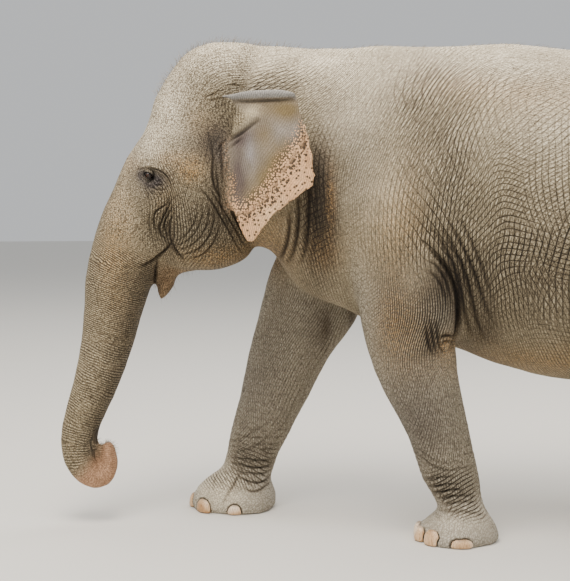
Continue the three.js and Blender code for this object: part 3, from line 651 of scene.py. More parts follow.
faceRows = [
    (-524, 1578, 90), (-506, 1508, 88), (-513, 1449, 70), (-459, 1519, 66), (-435, 1578, 95),
    (-448, 1443, 48), (-489, 1402, 22), (-522, 1411, 5), (-394, 1519, 76), (-377, 1578, 98),
    (-341, 1549, 103), (-300, 1508, 112), (-247, 1449, 116), (-212, 1390, 112), (-401, 1414, 58),
    (-425, 1355, 36), (-472, 1352, 18), (-354, 1402, 76), (-307, 1372, 100), (-378, 1343, 60),
    (-547, 1572, 72), (-580, 1499, 58), (-596, 1461, 92), (-578, 1425, 140), (-551, 1411, 170),
    (-612, 1508, 95), (-642, 1555, 95), (-666, 1461, 100), (-696, 1402, 96), (-661, 1355, 105),
    (-718, 1519, 100), (-458, 1672, 100), (-400, 1678, 128), (-423, 1731, 110), (-364, 1731, 100),
    (-334, 1678, 95), (-312, 1625, 118), (-282, 1566, 118), (-558, 1728, 148), (-529, 1678, 112),
    (-576, 1672, 165), (-606, 1660, 170), (-647, 1649, 120), (-682, 1695, 80), (-634, 1812, 120),
    (-516, 1842, 110), (-411, 1842, 100), (-681, 1842, 115), (-493, 1777, 110), (-608, 1343, 35),
    (-691, 1293, 15), (-448, 1319, 8), (-372, 1307, 18), (-283, 1319, 80), (-437, 2084, 88), (-484, 2113, 85),
    (-428, 2154, 62), (-390, 2200, 42), (-326, 2246, 12), (-221, 2269, 2), (-432, 1997, 108),
    (-386, 1928, 122), (-484, 2044, 92), (-514, 1963, 104), (-560, 2113, 75), (-501, 2200, 55),
    (-437, 2263, 40), (-221, 2200, -12), (-105, 2177, -20), (-12, 2148, -28), (-163, 2131, -14),
    (-256, 2154, -2), (99, 2148, -40), (140, 2206, -30), (-47, 2269, 0), (70, 2269, 0), (-304, 2021, 95),
    (-338, 2067, 60), (-327, 1963, 100), (-350, 2125, 35), (-303, 2154, 15), (-339, 1823, 108),
    (-374, 1852, 114), (-281, 1846, 52), (-257, 1806, 60), (-328, 1765, 95), (117, 1986, -62),
    (169, 1893, -100), (128, 2067, -60), (187, 1997, -80),
]


# coordinates across and along the lines, in mm, are worked out on a square grid: its step, its first corner,
# how many points it has each way, and how close to a row that row alone counts
flowGrids = {"grain": (40.0, -1300.0, -80.0, 100, 64, 25), "faceGrain": (15.0, -900.0, 1180.0, 74, 80, 12)}


def flowField(rows, places, step, x0, z0, columns, levels, near):
    gridX, gridZ = np.meshgrid(x0 + step * np.arange(columns), z0 + step * np.arange(levels), indexing="ij")
    rows = np.array(rows, float)
    weight = 1 / (np.hypot(gridX[..., None] - rows[:, 0], gridZ[..., None] - rows[:, 1]) + near) ** 3.2
    slope = np.radians(rows[:, 2])
    along = np.stack([(weight * np.cos(slope)).sum(-1), (weight * np.sin(slope)).sum(-1)], -1)
    along /= np.linalg.norm(along, axis=-1, keepdims=True) + 1e-9
    found = []
    for way in (np.stack([along[..., 1], -along[..., 0]], -1), along):
        spread = np.gradient(way[..., 0], step, axis=0) + np.gradient(way[..., 1], step, axis=1)
        field = way[..., 0].mean() * gridX + way[..., 1].mean() * gridZ
        for _ in range(5000):
            pad = np.pad(field, 1, mode="edge")
            pad[0, 1:-1] -= way[0, :, 0] * step
            pad[-1, 1:-1] += way[-1, :, 0] * step
            pad[1:-1, 0] -= way[:, 0, 1] * step
            pad[1:-1, -1] += way[:, -1, 1] * step
            field = (pad[2:, 1:-1] + pad[:-2, 1:-1] + pad[1:-1, 2:] + pad[1:-1, :-2] - spread * step ** 2) / 4
        cellX = np.clip((places[:, 0] - x0) / step, 0, columns - 1.001)
        cellZ = np.clip((places[:, 2] - z0) / step, 0, levels - 1.001)
        i, k = cellX.astype(int), cellZ.astype(int)
        fx, fz = cellX - i, cellZ - k
        found.append(
            field[i, k] * (1 - fx) * (1 - fz) + field[i + 1, k] * fx * (1 - fz)
            + field[i, k + 1] * (1 - fx) * fz + field[i + 1, k + 1] * fx * fz
        )
    return found


points = readPoints(skin.data)
places = toAnimal(points)
masks = {name: readMask(skin.data, name) for name in regionNames}
for name, rows in (("grain", flowRows), ("faceGrain", faceRows)):
    flow = flowField(rows, places, *flowGrids[name])
    writePlaces(skin.data, name, np.stack([*flow, np.abs(places[:, 1])], 1) / 1000)

# the middle line of the trunk, from its root to its tip: x and z
trunkLine = np.array([
    (-630, 1907), (-650, 1727), (-671, 1582), (-711, 1472), (-753, 1376), (-796, 1280), (-826, 1176),
    (-852, 1048), (-873, 927), (-905, 805), (-943, 682), (-984, 574), (-1014, 487), (-1024, 413),
    (-1017, 353), (-1002, 304), (-981, 268), (-946, 244), (-914, 240), (-885, 263), (-870, 300),
    (-876, 344), (-884, 381), (-887, 403),
], float)
trunkLengths = np.hypot(*np.diff(trunkLine, axis=0).T)
trunkEnds = np.concatenate([[0], np.cumsum(trunkLengths)])


def trunkPlace(places):  # how far down the trunk, and how far in front of its middle line, in mm
    best, length, ahead = np.full(len(places), 1e9), np.zeros(len(places)), np.zeros(len(places))
    flat = places[:, [0, 2]]
    for i in range(len(trunkLengths)):
        start, way = trunkLine[i], trunkLine[i + 1] - trunkLine[i]
        part = np.clip((flat - start) @ way / trunkLengths[i] ** 2, 0, 1)
        offset = flat - start - part[:, None] * way
        gap = np.hypot(*offset.T)
        closer = gap < best
        best[closer] = gap[closer]
        length[closer] = (trunkEnds[i] + part * trunkLengths[i])[closer]
        ahead[closer] = ((offset[:, 0] * way[1] - offset[:, 1] * way[0]) / trunkLengths[i])[closer]
    return length, ahead


trunkDown, trunkAhead = trunkPlace(places)
writePlaces(skin.data, "rings", np.stack([trunkDown, places[:, 1], trunkAhead], 1) / 1000)

# where the hide is dusty, tan, dark and so on, in mm: x, z, reach along x, reach along z, strength
tints = {
    "dust": [
        (-250, 2330, 420, 150, 1.0), (300, 2330, 450, 190, 1.0), (900, 2330, 500, 170, 1.0),
        (1500, 2330, 500, 200, 1.0), (-560, 2080, 120, 190, 1.0), (-640, 1850, 70, 150, 0.6),
        (1250, 1960, 350, 260, 0.5), (300, 2050, 200, 180, 0.5), (2000, 2200, 400, 200, 0.8),
        (640, 1800, 200, 250, 0.25), (-330, 130, 160, 120, 1.2), (800, 130, 200, 90, 0.4),
        (-720, 1950, 90, 300, 0.4),
    ],
    "tan": [
        (1180, 2130, 260, 130, 0.9), (800, 2150, 150, 80, 0.5), (-440, 1735, 60, 55, 1.0),
        (-330, 1330, 180, 60, 0.8), (212, 1600, 18, 150, 0.6), (180, 1350, 100, 90, 0.4),
        (1200, 840, 420, 80, 0.6), (745, 930, 50, 60, 0.7), (575, 1650, 100, 200, 0.25),
        (480, 1050, 60, 160, 0.4), (560, 1000, 90, 160, 0.5), (-80, 1400, 130, 160, 0.6),
        (500, 1450, 130, 220, 0.4), (-560, 1600, 60, 90, 0.3), (1700, 860, 350, 110, 0.4),
        (-780, 1500, 90, 260, 0.35), (-420, 1990, 70, 70, 0.3), (-720, 1780, 60, 60, 0.6),
        (-560, 1790, 110, 40, 0.5), (-830, 1300, 70, 250, 0.4),
    ],
    # dark: mostly painted shade behind and under the ears, under the chin, on the belly and on the far foreleg
    # under the chest, with some darker hide
    "dark": [
        (-60, 1350, 150, 120, 0.8), (-545, 1420, 40, 60, 0.9), (150, 1600, 70, 330, 1.6),
        (205, 1500, 50, 300, 0.8), (640, 560, 150, 170, 0.45), (1050, 1200, 330, 280, 0.35),
        (170, 950, 60, 120, 0.5), (1500, 1300, 250, 330, 0.25), (1330, 860, 60, 120, 0.3),
        (1850, 950, 140, 160, 0.5), (-330, 1880, 120, 110, 1.2), (-310, 1650, 70, 240, 0.9),
        (250, 1950, 80, 160, 0.4), (-480, 1850, 80, 120, 0.4), (-600, 1210, 40, 70, 0.5),
    ],
    # painted shade in the folds where the forelegs meet the body
    "armpit": [
        (795, 1090, 24, 170, 1.3), (740, 1300, 35, 90, 0.5), (700, 1220, 90, 110, 0.8),
        (930, 1000, 70, 130, 0.8), (660, 960, 30, 90, 0.8),
    ],
    "grey": [
        (-400, 1480, 110, 90, 0.2), (330, 1800, 110, 300, 0.6), (560, 560, 200, 260, 0.7),
        (-170, 640, 160, 260, 0.5), (-120, 2120, 120, 35, 0.8), (-290, 1800, 40, 90, 0.7),
    ],
    "lined": [
        (-400, 1480, 160, 150, 1.0), (-570, 1500, 90, 150, 0.8), (-240, 1480, 90, 160, 0.9),
        (-330, 2060, 150, 110, 0.5), (-50, 2150, 260, 90, 0.8), (720, 1600, 170, 500, 1.0),
        (1100, 1400, 420, 380, 1.0), (560, 1200, 210, 190, 1.0), (1500, 1500, 500, 450, 0.8),
        (140, 1500, 90, 300, 1.0), (1050, 2150, 350, 100, 0.4), (620, 950, 150, 150, 0.8),
        (620, 2050, 180, 200, 0.8), (1900, 1300, 400, 450, 0.7), (-590, 1690, 90, 90, 0.5),
    ],
    "gold": [
        (-70, 2018, 130, 45, 0.6), (20, 1995, 70, 60, 0.8), (-95, 1900, 45, 50, 0.7), (-40, 1770, 60, 70, 1.0),
        (-95, 1690, 55, 55, 1.0), (-150, 1615, 45, 45, 1.0), (10, 1840, 40, 60, 0.6),
    ],
    # plum: purple-grey skin low in the ear, and painted shade in the hollow under the raised fold at its root
    "plum": [
        (-222, 1720, 36, 120, 1.2), (-195, 1640, 40, 60, 0.9), (-205, 1874, 45, 36, 1.0),
        (-165, 1905, 50, 26, 0.8),
    ],
    # sheen: a painted highlight inside the ears
    "sheen": [
        (-160, 1800, 22, 80, 0.7), (-20, 1920, 45, 70, 0.4), (40, 1880, 30, 120, 0.5),
    ],
    "temple": [
        (-250, 1985, 50, 62, 1.3), (-215, 1975, 40, 35, 0.8), (-275, 1915, 35, 45, 0.8),
    ],
    "eyeShade": [
        (-628, 1700, 52, 34, 1.0), (-682, 1725, 34, 38, 1.1), (-640, 1668, 40, 45, 0.7),
        (-585, 1690, 45, 40, 0.6),
    ],
}
tinted = {}
for name, spots in tints.items():
    total = np.zeros(len(places))
    level = places[:, 0] + (legStep * (places[:, 1] > 0) if name == "armpit" else 0)
    for x, z, wide, tall, strength in spots:
        total += strength * np.exp(-(((level - x) / wide) ** 2) - ((places[:, 2] - z) / tall) ** 2)
    tinted[name] = total
# that painted shade of the forelegs' folds joins the dark patches, except on the lower jaw
tinted["dark"] += tinted.pop("armpit") * (1 - masks["lower_jaw"])
for name, total in tinted.items():
    writeMask(skin.data, name, np.clip(total, 0, 1.6 if name == "dark" else 1.2))
pinkEdge = rounded([(110, 1929), (50, 1829), (-9, 1756), (-60, 1655), (-133, 1582), (-207, 1536), (-257, 1578)])
gap, _ = alongLine(places[:, [0, 2]], pinkEdge)
below = np.interp(places[:, 0], pinkEdge[::-1, 0], pinkEdge[::-1, 1]) - places[:, 2]
hem = np.clip(np.sign(below) * gap / 100, -1, 1)
frontHem = np.exp(-(((places[:, 0] + 250) / 34) ** 2)) * smoothStep(places[:, 2], 1520, 1600)
frontHem *= 1 - smoothStep(places[:, 2], 1690, 1770)
writeMask(skin.data, "pink", masks["ear"] * np.maximum(hem, 0.75 * frontHem - 1))
broad = soften(readNormals(skin.data), nearTable(skin.data), 6)
writeMask(skin.data, "skyward", broad[:, 2])
# painted shade: the hide that faces the rear is darkened down the trunk
writeMask(skin.data, "rearward", smoothStep(broad[:, 0], -0.25, 0.75))
trunkMask = sum(masks[name] for name in ("trunk_upper", "trunk_middle", "trunk_lower", "trunk_tip"))
writeMask(skin.data, "trunkAll", trunkMask)
endOn = smoothStep(np.abs(broad[:, 0]), 0.5, 0.85) * (1 - masks["ear"]) * (1 - trunkMask)
writeMask(skin.data, "endOn", endOn)
limbShare = np.clip(masks["upper"] + masks["lower"] + masks["foot"], 0, 1)
limbShare *= 1 - smoothStep(places[:, 2], 1080, 1500)
writeMask(skin.data, "limb", limbShare)
ankle = smoothStep(places[:, 2], 70, 170) * (1 - smoothStep(places[:, 2], 300, 420))
writeMask(skin.data, "ankle", limbShare * ankle)
# painted highlight: the hide is made lighter along the raised fold at the ear's root
ridgeLine = [(-310, 1905), (-240, 1938), (-204, 1962), (-169, 1989), (-140, 2008)]
gap, _ = alongLine(places[:, [0, 2]], ridgeLine)
writeMask(skin.data, "ridge", np.exp(-((gap / 26) ** 2)) * masks["ear"])
writeMask(skin.data, "earRoll", masks["ear"] * smoothStep(places[:, 2], 2058, 2070))
print("hide is mapped")

# the hide's own material: thick, dry, folded skin, matt, with painted shade in its creases, on its downward
# faces and down the trunk's rear side, and a painted sheen inside the ears
hide, tree = newMaterial("folded elephant hide")
grounds = {"object": addNode(tree, "ShaderNodeTexCoord", {}).outputs["Object"]}
for name in ("grain", "faceGrain", "rings"):
    grounds[name] = addNode(tree, "ShaderNodeAttribute", {"attribute_name": name}).outputs["Vector"]
grounds["earFlat"] = addNode(
    tree, "ShaderNodeMapping", {"Rotation": (math.pi / 2, 0, 0), "Vector": grounds["object"]}
).outputs[0]
shares = {  # every share and height over the surface, by its name
    name: addNode(tree, "ShaderNodeAttribute", {"attribute_name": name}).outputs["Fac"]
    for name in (
        "limb", "trunkAll", "trunk_tip", "trunk_middle", "trunk_lower", "head", "lower_jaw", "foot", "pink",
        "skyward", "rearward", "endOn", "ankle", "ridge", "earRoll", "crease", "lidRim", *tinted,
    )
}
shares["wholeEar"] = addNode(tree, "ShaderNodeAttribute", {"attribute_name": "ear"}).outputs["Fac"]
for name, scale, detail, rough in (
    ("patchyRaw", 4.5, 6.0, 0.62), ("blotchyRaw", 30.0, 5.0, 0.7), ("fine", 150.0, 2.0, 0.7),
):
    shares[name] = addNode(tree, "ShaderNodeTexNoise", {
        "Scale": scale, "Detail": detail, "Roughness": rough, "Vector": grounds["object"],
    }).outputs["Fac"]
for name, ground, kind, scale, loose in (
    ("largeDot", "earFlat", "2D", 38.0, 0.8), ("smallDot", "earFlat", "2D", 74.0, 0.8),
    ("drop", "earFlat", "2D", 88.0, 0.8), ("speckle", "object", "3D", 19.0, 1.0),
):
    shares[name] = addNode(tree, "ShaderNodeTexVoronoi", {
        "voronoi_dimensions": kind, "Scale": scale, "Randomness": loose, "Vector": grounds[ground],
    }).outputs["Distance"]


def workOut(sums):  # each row: the name of the result, how, and what goes in, by its name or as a number
    for name, how, *values in sums:
        ranged = how in ("LINEAR", "SMOOTHSTEP")  # the value, its start and end, and what it becomes there
        inputs = {i: shares[value] if isinstance(value, str) else value for i, value in enumerate(values)}
        inputs["interpolation_type" if ranged else "operation"] = how
        shares[name] = addNode(tree, "ShaderNodeMapRange" if ranged else "ShaderNodeMath", inputs).outputs[0]


workOut([
    # whose part of the hide it is
    ("templeLow", "MINIMUM", "temple", 1.0), ("templeEar", "MULTIPLY", "wholeEar", "templeLow"),
    ("offRoll", "SUBTRACT", 1.0, "earRoll"), ("templeSide", "MULTIPLY", "templeEar", "offRoll"),
    ("ear", "SUBTRACT", "wholeEar", "templeSide"), ("limbTrunk", "ADD", "limb", "trunkAll"),
    ("outer", "ADD", "limbTrunk", "ear"), ("inner", "SUBTRACT", 1.0, "outer"), ("bulk", "MAXIMUM", "inner", 0.0),
    ("headJaw", "ADD", "head", "lower_jaw"), ("faceAll", "ADD", "headJaw", "templeSide"),
    ("face", "MINIMUM", "faceAll", 1.0), ("bulkBehind", "SUBTRACT", "bulk", "templeSide"),
    ("behind", "SUBTRACT", "bulkBehind", "headJaw"), ("flank", "MAXIMUM", "behind", 0.0),
    # where its patterns show
    ("much", "MULTIPLY_ADD", "lined", 0.65, 0.35), ("sideOn", "MULTIPLY_ADD", "endOn", -0.85, 1.0),
    ("offFoot", "MULTIPLY_ADD", "foot", -0.6, 1.0), ("legLines", "MULTIPLY", "limb", "offFoot"),
    ("lowerHalf", "ADD", "trunk_lower", "trunk_middle"), ("lowTrunk", "MINIMUM", "lowerHalf", 1.0),
    ("offTip", "MULTIPLY_ADD", "trunk_tip", -0.7, 1.0), ("ringed", "MULTIPLY", "trunkAll", "offTip"),
    ("ringedLow", "MULTIPLY", "ringed", "lowTrunk"), ("ringedHigh", "SUBTRACT", "ringed", "ringedLow"),
    ("flankLined", "MULTIPLY", "flank", "much"), ("faceLined", "MULTIPLY", "face", "much"),
    ("legLined", "MULTIPLY", "legLines", "much"), ("limbSide", "MULTIPLY", "limb", "sideOn"),
    ("faceGrit", "MULTIPLY", "face", 0.9), ("dustGrit", "MULTIPLY", "dust", 0.3),
    ("finePebbles", "MAXIMUM", "faceGrit", "dustGrit"), ("flankGrit", "MULTIPLY", "flank", 0.7),
    ("legGrit", "MULTIPLY", "legLines", 0.5), ("longPebbles", "MAXIMUM", "flankGrit", "legGrit"),
    # where its colours lie
    ("patchy", "LINEAR", "patchyRaw", 0.3, 0.7), ("blotchy", "LINEAR", "blotchyRaw", 0.35, 0.65),
    # rear: painted shade down the rear side of the trunk
    ("rear", "MULTIPLY", "rearward", "ringed"), ("darkMost", "MULTIPLY", "dark", 0.8),
    # darkened and darkest: the dark patches, mostly painted shade, with some darker hide
    ("darkened", "MINIMUM", "darkMost", 0.96), ("darkOver", "SUBTRACT", "dark", 1.1),
    ("darkest", "MAXIMUM", "darkOver", 0.0), ("speckled", "LINEAR", "fine", 0.44, 0.58, 0.1, 0.95),
    # painted shade: the shade share darkens the hide where it faces down
    ("earthy", "MULTIPLY", "tan", "speckled"), ("shade", "SMOOTHSTEP", "skyward", -0.5, 0.5, 1.0, 0.0),
    ("underside", "MULTIPLY", "shade", "bulk"), ("powder", "MULTIPLY_ADD", "patchy", 0.4, 0.6),
    ("dusty", "MULTIPLY", "dust", "powder"), ("eyeSide", "MULTIPLY", "face", "eyeShade"),
    # freckles over the pink hem of the ear: few and large at the edge, running together further in
    ("inward", "LINEAR", "pink", 0.1, 1.0, 1.0, 0.0), ("inwardMore", "MULTIPLY", "inward", "inward"),
    ("uneven", "MULTIPLY_ADD", "blotchy", 0.5, 0.75),
    ("largeSize", "MULTIPLY_ADD", "inwardMore", 0.15, 0.19), ("largeEdge", "MULTIPLY", "largeSize", "uneven"),
    ("largeGap", "SUBTRACT", "largeDot", "largeEdge"), ("largeOff", "LINEAR", "largeGap", -0.05, 0.05),
    ("smallSize", "MULTIPLY_ADD", "inwardMore", 0.45, 0.05), ("smallEdge", "MULTIPLY", "smallSize", "uneven"),
    ("smallGap", "SUBTRACT", "smallDot", "smallEdge"), ("smallOff", "LINEAR", "smallGap", -0.05, 0.05),
    ("bare", "MULTIPLY", "largeOff", "smallOff"), ("jitter", "MULTIPLY_ADD", "blotchy", 0.16, -0.08),
    ("reach", "LINEAR", "pink", -0.8, 0.15, 0.0, 0.62), ("reachUneven", "ADD", "reach", "jitter"),
    ("dropGap", "SUBTRACT", "reachUneven", "drop"), ("drops", "LINEAR", "dropGap", -0.02, 0.1),
    ("hemStart", "LINEAR", "pink", -0.9, -0.75), ("hemFull", "LINEAR", "pink", -0.05, 0.25),
    ("bareMore", "SUBTRACT", "bare", "drops"), ("pale", "MULTIPLY_ADD", "bareMore", "hemFull", "drops"),
    ("hem", "MULTIPLY", "hemStart", "ear"), ("rosy", "MULTIPLY", "pale", "hem"),
    ("stainStart", "LINEAR", "pink", -0.6, 0.0), ("stained", "MULTIPLY", "stainStart", "ear"),
    # scattered dark specks
    ("speck", "LINEAR", "speckle", 0.055, 0.095, 1.0, 0.0), ("bulkSpecks", "MULTIPLY", "bulk", 0.8),
    ("rollTip", "ADD", "earRoll", "trunk_tip"), ("rollSpecks", "MULTIPLY", "rollTip", 0.6),
    ("specksWhere", "MAXIMUM", "bulkSpecks", "rollSpecks"), ("specks", "MULTIPLY", "speck", "specksWhere"),
])
shares["height"] = 0.0  # in mm
shares["shown"] = 1.0  # how much of the colour the creases leave, after their painted shade and dirt

# pads of hide between creases: ground, size in mm across, along and outward, width of the creases, rise in mm,
# how dark the creases are painted with shade and dirt, where
pads = [
    ("grain", (19, 38, 24), 0.11, 1.2, 0.3, "flankLined"),
    ("faceGrain", (15, 20, 17), 0.15, 1.4, 0.3, "faceLined"),
    ("grain", (10, 17, 12), 0.22, 0.6, 0.3, "limbSide"),
    ("object", (19, 15, 19), 0.15, 1.4, 0.45, "endOn"),
]
wander = addNode(tree, "ShaderNodeTexNoise", {"Scale": 28.0, "Detail": 2.0, "Vector": grounds["object"]})
centred = addNode(
    tree, "ShaderNodeVectorMath", {"operation": "SUBTRACT", 0: wander.outputs["Color"], 1: (0.5, 0.5, 0.5)}
)
shift = addNode(tree, "ShaderNodeVectorMath", {"operation": "SCALE", 0: centred.outputs[0], "Scale": 0.005})
for ground, size, edge, risen, dark, where in pads:
    moved = addNode(
        tree, "ShaderNodeVectorMath", {"operation": "ADD", 0: grounds[ground], 1: shift.outputs[0]}
    )
    scaled = addNode(
        tree, "ShaderNodeMapping", {"Scale": [1000 / s for s in size], "Vector": moved.outputs[0]}
    )
    shares["cell"] = addNode(
        tree, "ShaderNodeTexVoronoi", {"feature": "DISTANCE_TO_EDGE", "Scale": 1.0, "Vector": scaled.outputs[0]}
    ).outputs["Distance"]
    workOut([
        ("gap", "SMOOTHSTEP", "cell", 0.0, edge, 1.0, 0.0), ("gap", "MULTIPLY", "gap", where),
        ("height", "MULTIPLY_ADD", "gap", -risen, "height"), ("kept", "MULTIPLY_ADD", "gap", -dark, 1.0),
        ("shown", "MULTIPLY", "shown", "kept"),
    ])

# pebbled grain: ground, size in mm, rise in mm, how dark it is painted between the pebbles with shade and dirt,
# where
pebbles = [
    ("object", (6.5, 6.5, 6.5), 1.0, 0.65, "finePebbles"),
    ("rings", (7.5, 9, 9), 1.6, 0.5, "ringed"),
    ("grain", (5.5, 11, 9), 0.6, 0.3, "longPebbles"),
]
for ground, size, risen, dark, where in pebbles:
    scaled = addNode(
        tree, "ShaderNodeMapping", {"Scale": [1000 / s for s in size], "Vector": grounds[ground]}
    )
    shares["cell"] = addNode(
        tree, "ShaderNodeTexVoronoi", {"Scale": 1.0, "Randomness": 0.75, "Vector": scaled.outputs[0]}
    ).outputs["Distance"]
    workOut([
        ("gap", "SMOOTHSTEP", "cell", 0.25, 0.75), ("gap", "MULTIPLY", "gap", where),
        ("height", "MULTIPLY_ADD", "gap", -risen, "height"), ("kept", "MULTIPLY_ADD", "gap", -dark, 1.0),
        ("shown", "MULTIPLY", "shown", "kept"),
    ])

# long wrinkles that follow the flow: ground, spacing in mm, slant along, slant outward, wander in mm and in
# spacings, half width of a line in mm, depth in mm, where, darkness of its painted shade and dirt, share kept
# where a line fades
wrinkles = [
    ("grain", 18, 0.06, 0.30, 210, 0.9, 3.6, 3.6, "flankLined", 0.9, 0.1),
    ("grain", 24, -0.9, -0.30, 190, 0.9, 4.3, 3.0, "flankLined", 0.75, 0.1),
    ("grain", 30, 0.8, 0.45, 190, 1.0, 4.4, 3.0, "flankLined", 0.65, 0.0),
    ("grain", 15, -0.25, 0.5, 150, 1.2, 3.2, 2.0, "flankLined", 0.55, 0.0),
    ("grain", 10, -0.06, 0.5, 210, 1.0, 3.2, 1.4, "flank", 0.5, 0.0),
    ("faceGrain", 11, 0.04, 0.1, 240, 0.7, 3.8, 3.0, "faceLined", 0.78, 0.5),
    ("faceGrain", 19, -0.75, -0.4, 240, 1.0, 3.8, 2.4, "faceLined", 0.45, 0.3),
    ("grain", 9.5, 0.08, 0.3, 240, 0.8, 3.8, 2.2, "legLined", 1.0, 0.3),
    ("grain", 12, -0.75, -0.5, 240, 0.9, 3.2, 1.6, "legLines", 0.5, 0.3),
    ("object", 9, 0.0, 0.2, 120, 1.2, 3.0, 1.2, "ear", 0.55, 0.1),
    ("object", 14, 0.0, -0.7, 120, 1.2, 3.2, 1.2, "ear", 0.35, 0.0),
    ("rings", 9.5, 0.0, 0.12, 90, 1.0, 3.4, 2.4, "ringedHigh", 0.8, 0.75),
    ("rings", 12.5, 0.0, 0.12, 90, 1.1, 4.2, 3.2, "ringedLow", 0.72, 0.6),
    ("grain", 46, 4.0, 0.5, 190, 1.2, 13, 3.4, "ankle", 0.9, 0.2),
    ("grain", 60, -3.2, 0.5, 190, 1.2, 15, 2.6, "ankle", 0.7, 0.0),
]
shares["lines"] = 0.0
wanders = {}  # wrinkles with the same ground and wander share one soft noise, and take turns with its channels
for ground, spacing, slant, outward, size, stray, wide, deep, where, dark, least in wrinkles:
    if (ground, size) not in wanders:
        offset = addNode(tree, "ShaderNodeMapping", {
            "Location": (len(wanders) * 3.7, len(wanders) * 1.3, 0),
            "Scale": (1000 / size, 400 / size, 1000 / size), "Vector": grounds[ground],
        })
        noise = addNode(
            tree, "ShaderNodeTexNoise", {"Scale": 1.0, "Detail": 1.0, "Vector": offset.outputs[0]}
        )
        channels = addNode(tree, "ShaderNodeSeparateColor", {0: noise.outputs["Color"]}).outputs
        wanders[ground, size] = [(channels[0], channels[1], 0.3, 0.6), (channels[2], channels[1], 0.7, 0.4)]
    shares["bend"], shares["life"], fadeStart, fadeEnd = wanders[ground, size][0]
    wanders[ground, size].reverse()
    shares["phase"] = addNode(tree, "ShaderNodeVectorMath", {
        "operation": "DOT_PRODUCT", 0: grounds[ground],
        1: (1000 / spacing, 1000 * slant / spacing, 1000 * outward / spacing),
    }).outputs["Value"]
    workOut([
        ("phase", "MULTIPLY_ADD", "bend", stray * 2, "phase"), ("gap", "PINGPONG", "phase", 0.5),
        ("line", "SMOOTHSTEP", "gap", 0.0, wide / spacing, 1.0, 0.0),
        ("life", "SMOOTHSTEP", "life", fadeStart, fadeEnd, least),
        ("line", "MULTIPLY", "line", "life"), ("line", "MULTIPLY", "line", where),
        ("line", "MULTIPLY", "line", 1.0 if ground == "rings" else "sideOn"),
        ("height", "MULTIPLY_ADD", "line", -deep, "height"),
        # each line is darkened with painted shade and dirt
        ("stain", "MULTIPLY", "line", dark), ("lines", "MAXIMUM", "lines", "stain"),
    ])

# what is left to see of the colour, and the worn grain over it all
workOut([
    ("height", "MULTIPLY_ADD", "fine", 1.6, "height"), ("offLines", "SUBTRACT", 1.0, "lines"),
    ("shown", "MULTIPLY", "shown", "offLines"), ("gritFull", "LINEAR", "fine", 0.36, 0.64, 0.72, 1.12),
    ("gritOver", "SUBTRACT", "gritFull", 0.95), ("gritWhere", "MULTIPLY_ADD", "foot", -0.7, 1.0),
    ("grit", "MULTIPLY_ADD", "gritOver", "gritWhere", 0.95), ("shown", "MULTIPLY", "shown", "grit"),
    # the creases are darkened with painted shade and dirt
    ("uncreased", "MULTIPLY_ADD", "crease", -0.9, 1.0), ("shown", "MULTIPLY", "shown", "uncreased"),
    ("padShare", "MULTIPLY_ADD", "ear", -0.4, 1.0),
])


def layered(colour, layers):  # each layer: its colour, where it lies and how much of it
    for tone, where, most in layers:
        workOut([("amount", "MULTIPLY", where, most)])
        colour = addNode(
            tree, "ShaderNodeMix", {"data_type": "RGBA", 0: shares["amount"], 6: colour, 7: tone}
        ).outputs[2]
    return colour


fleshyTip = layered("#b28465", [("#96694c", "blotchy", 1.0)])
barePink = layered("#efc79c", [("#e3b081", "patchy", 1.0)])
# inside the ear: the sheen is a painted highlight, and the plum partly painted shade
innerEar = layered("#968b7c", [
    ("#80766a", "patchy", 1.0), ("#665a55", "plum", 0.9), ("#a9a7aa", "sheen", 0.8), ("#7d6c4c", "gold", 1.0),
])
colour = layered("#988d74", [
    ("#b6ab91", "patchy", 1.0), ("#989182", "limb", 0.75), ("#ae9f80", "trunkAll", 0.6),
    # rear: painted shade down the rear side of the trunk
    ("#aaa498", "foot", 0.8), ("#6d6251", "rear", 0.75), ("#5b5042", "darkened", 1.0),
    # darkened and darkest: the dark patches, mostly painted shade, with some darker hide
    ("#2f2821", "darkest", 1.6), ("#75706a", "grey", 0.7), ("#c79d62", "earthy", 1.0),
    # the share of downward faces is painted shade
    ("#7d7058", "underside", 0.3), ("#f8eed6", "dusty", 1.0), (fleshyTip, "trunk_tip", 0.75),
    ("#957450", "lower_jaw", 0.6), ("#565050", "eyeSide", 0.8), (innerEar, "ear", 1.0),
    # the first layer here is a painted highlight along the raised fold at the ear's root
    ("#c4b697", "ridge", 0.9), ("#94918c", "earRoll", 1.0), ("#2b2520", "lidRim", 0.95),
    ("#50402f", "stained", 0.94), (barePink, "rosy", 1.0),
])
padShadeAndHighlight = addNode(tree, "ShaderNodeValToRGB", {  # painted shade and dirt in the creases, and a painted highlight on the tops of the pads
    "stops": [(0.0, "#2c2722"), (0.35, "#8e8780"), (0.7, "#dfdbd6"), (1.0, 1.25)], "Fac": shares["shown"],
})
padded = addNode(tree, "ShaderNodeMix", {
    "data_type": "RGBA", "blend_type": "MULTIPLY", 0: shares["padShare"], 6: colour,
    7: padShadeAndHighlight.outputs["Color"],
})
bump = addNode(tree, "ShaderNodeBump", {"Strength": 1.0, "Distance": 0.0014, "Height": shares["height"]})
dress(tree, {
    "Base Color": layered(padded.outputs[2], [("#4a3d30", "specks", 1.0)]), "Roughness": 0.82,
    "Specular IOR Level": 0.28, "Normal": bump.outputs["Normal"],
})
skin.data.materials.clear()
skin.data.materials.append(hide)
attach(skin, "root")
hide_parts(*fleshNodes)
print("hide is done")

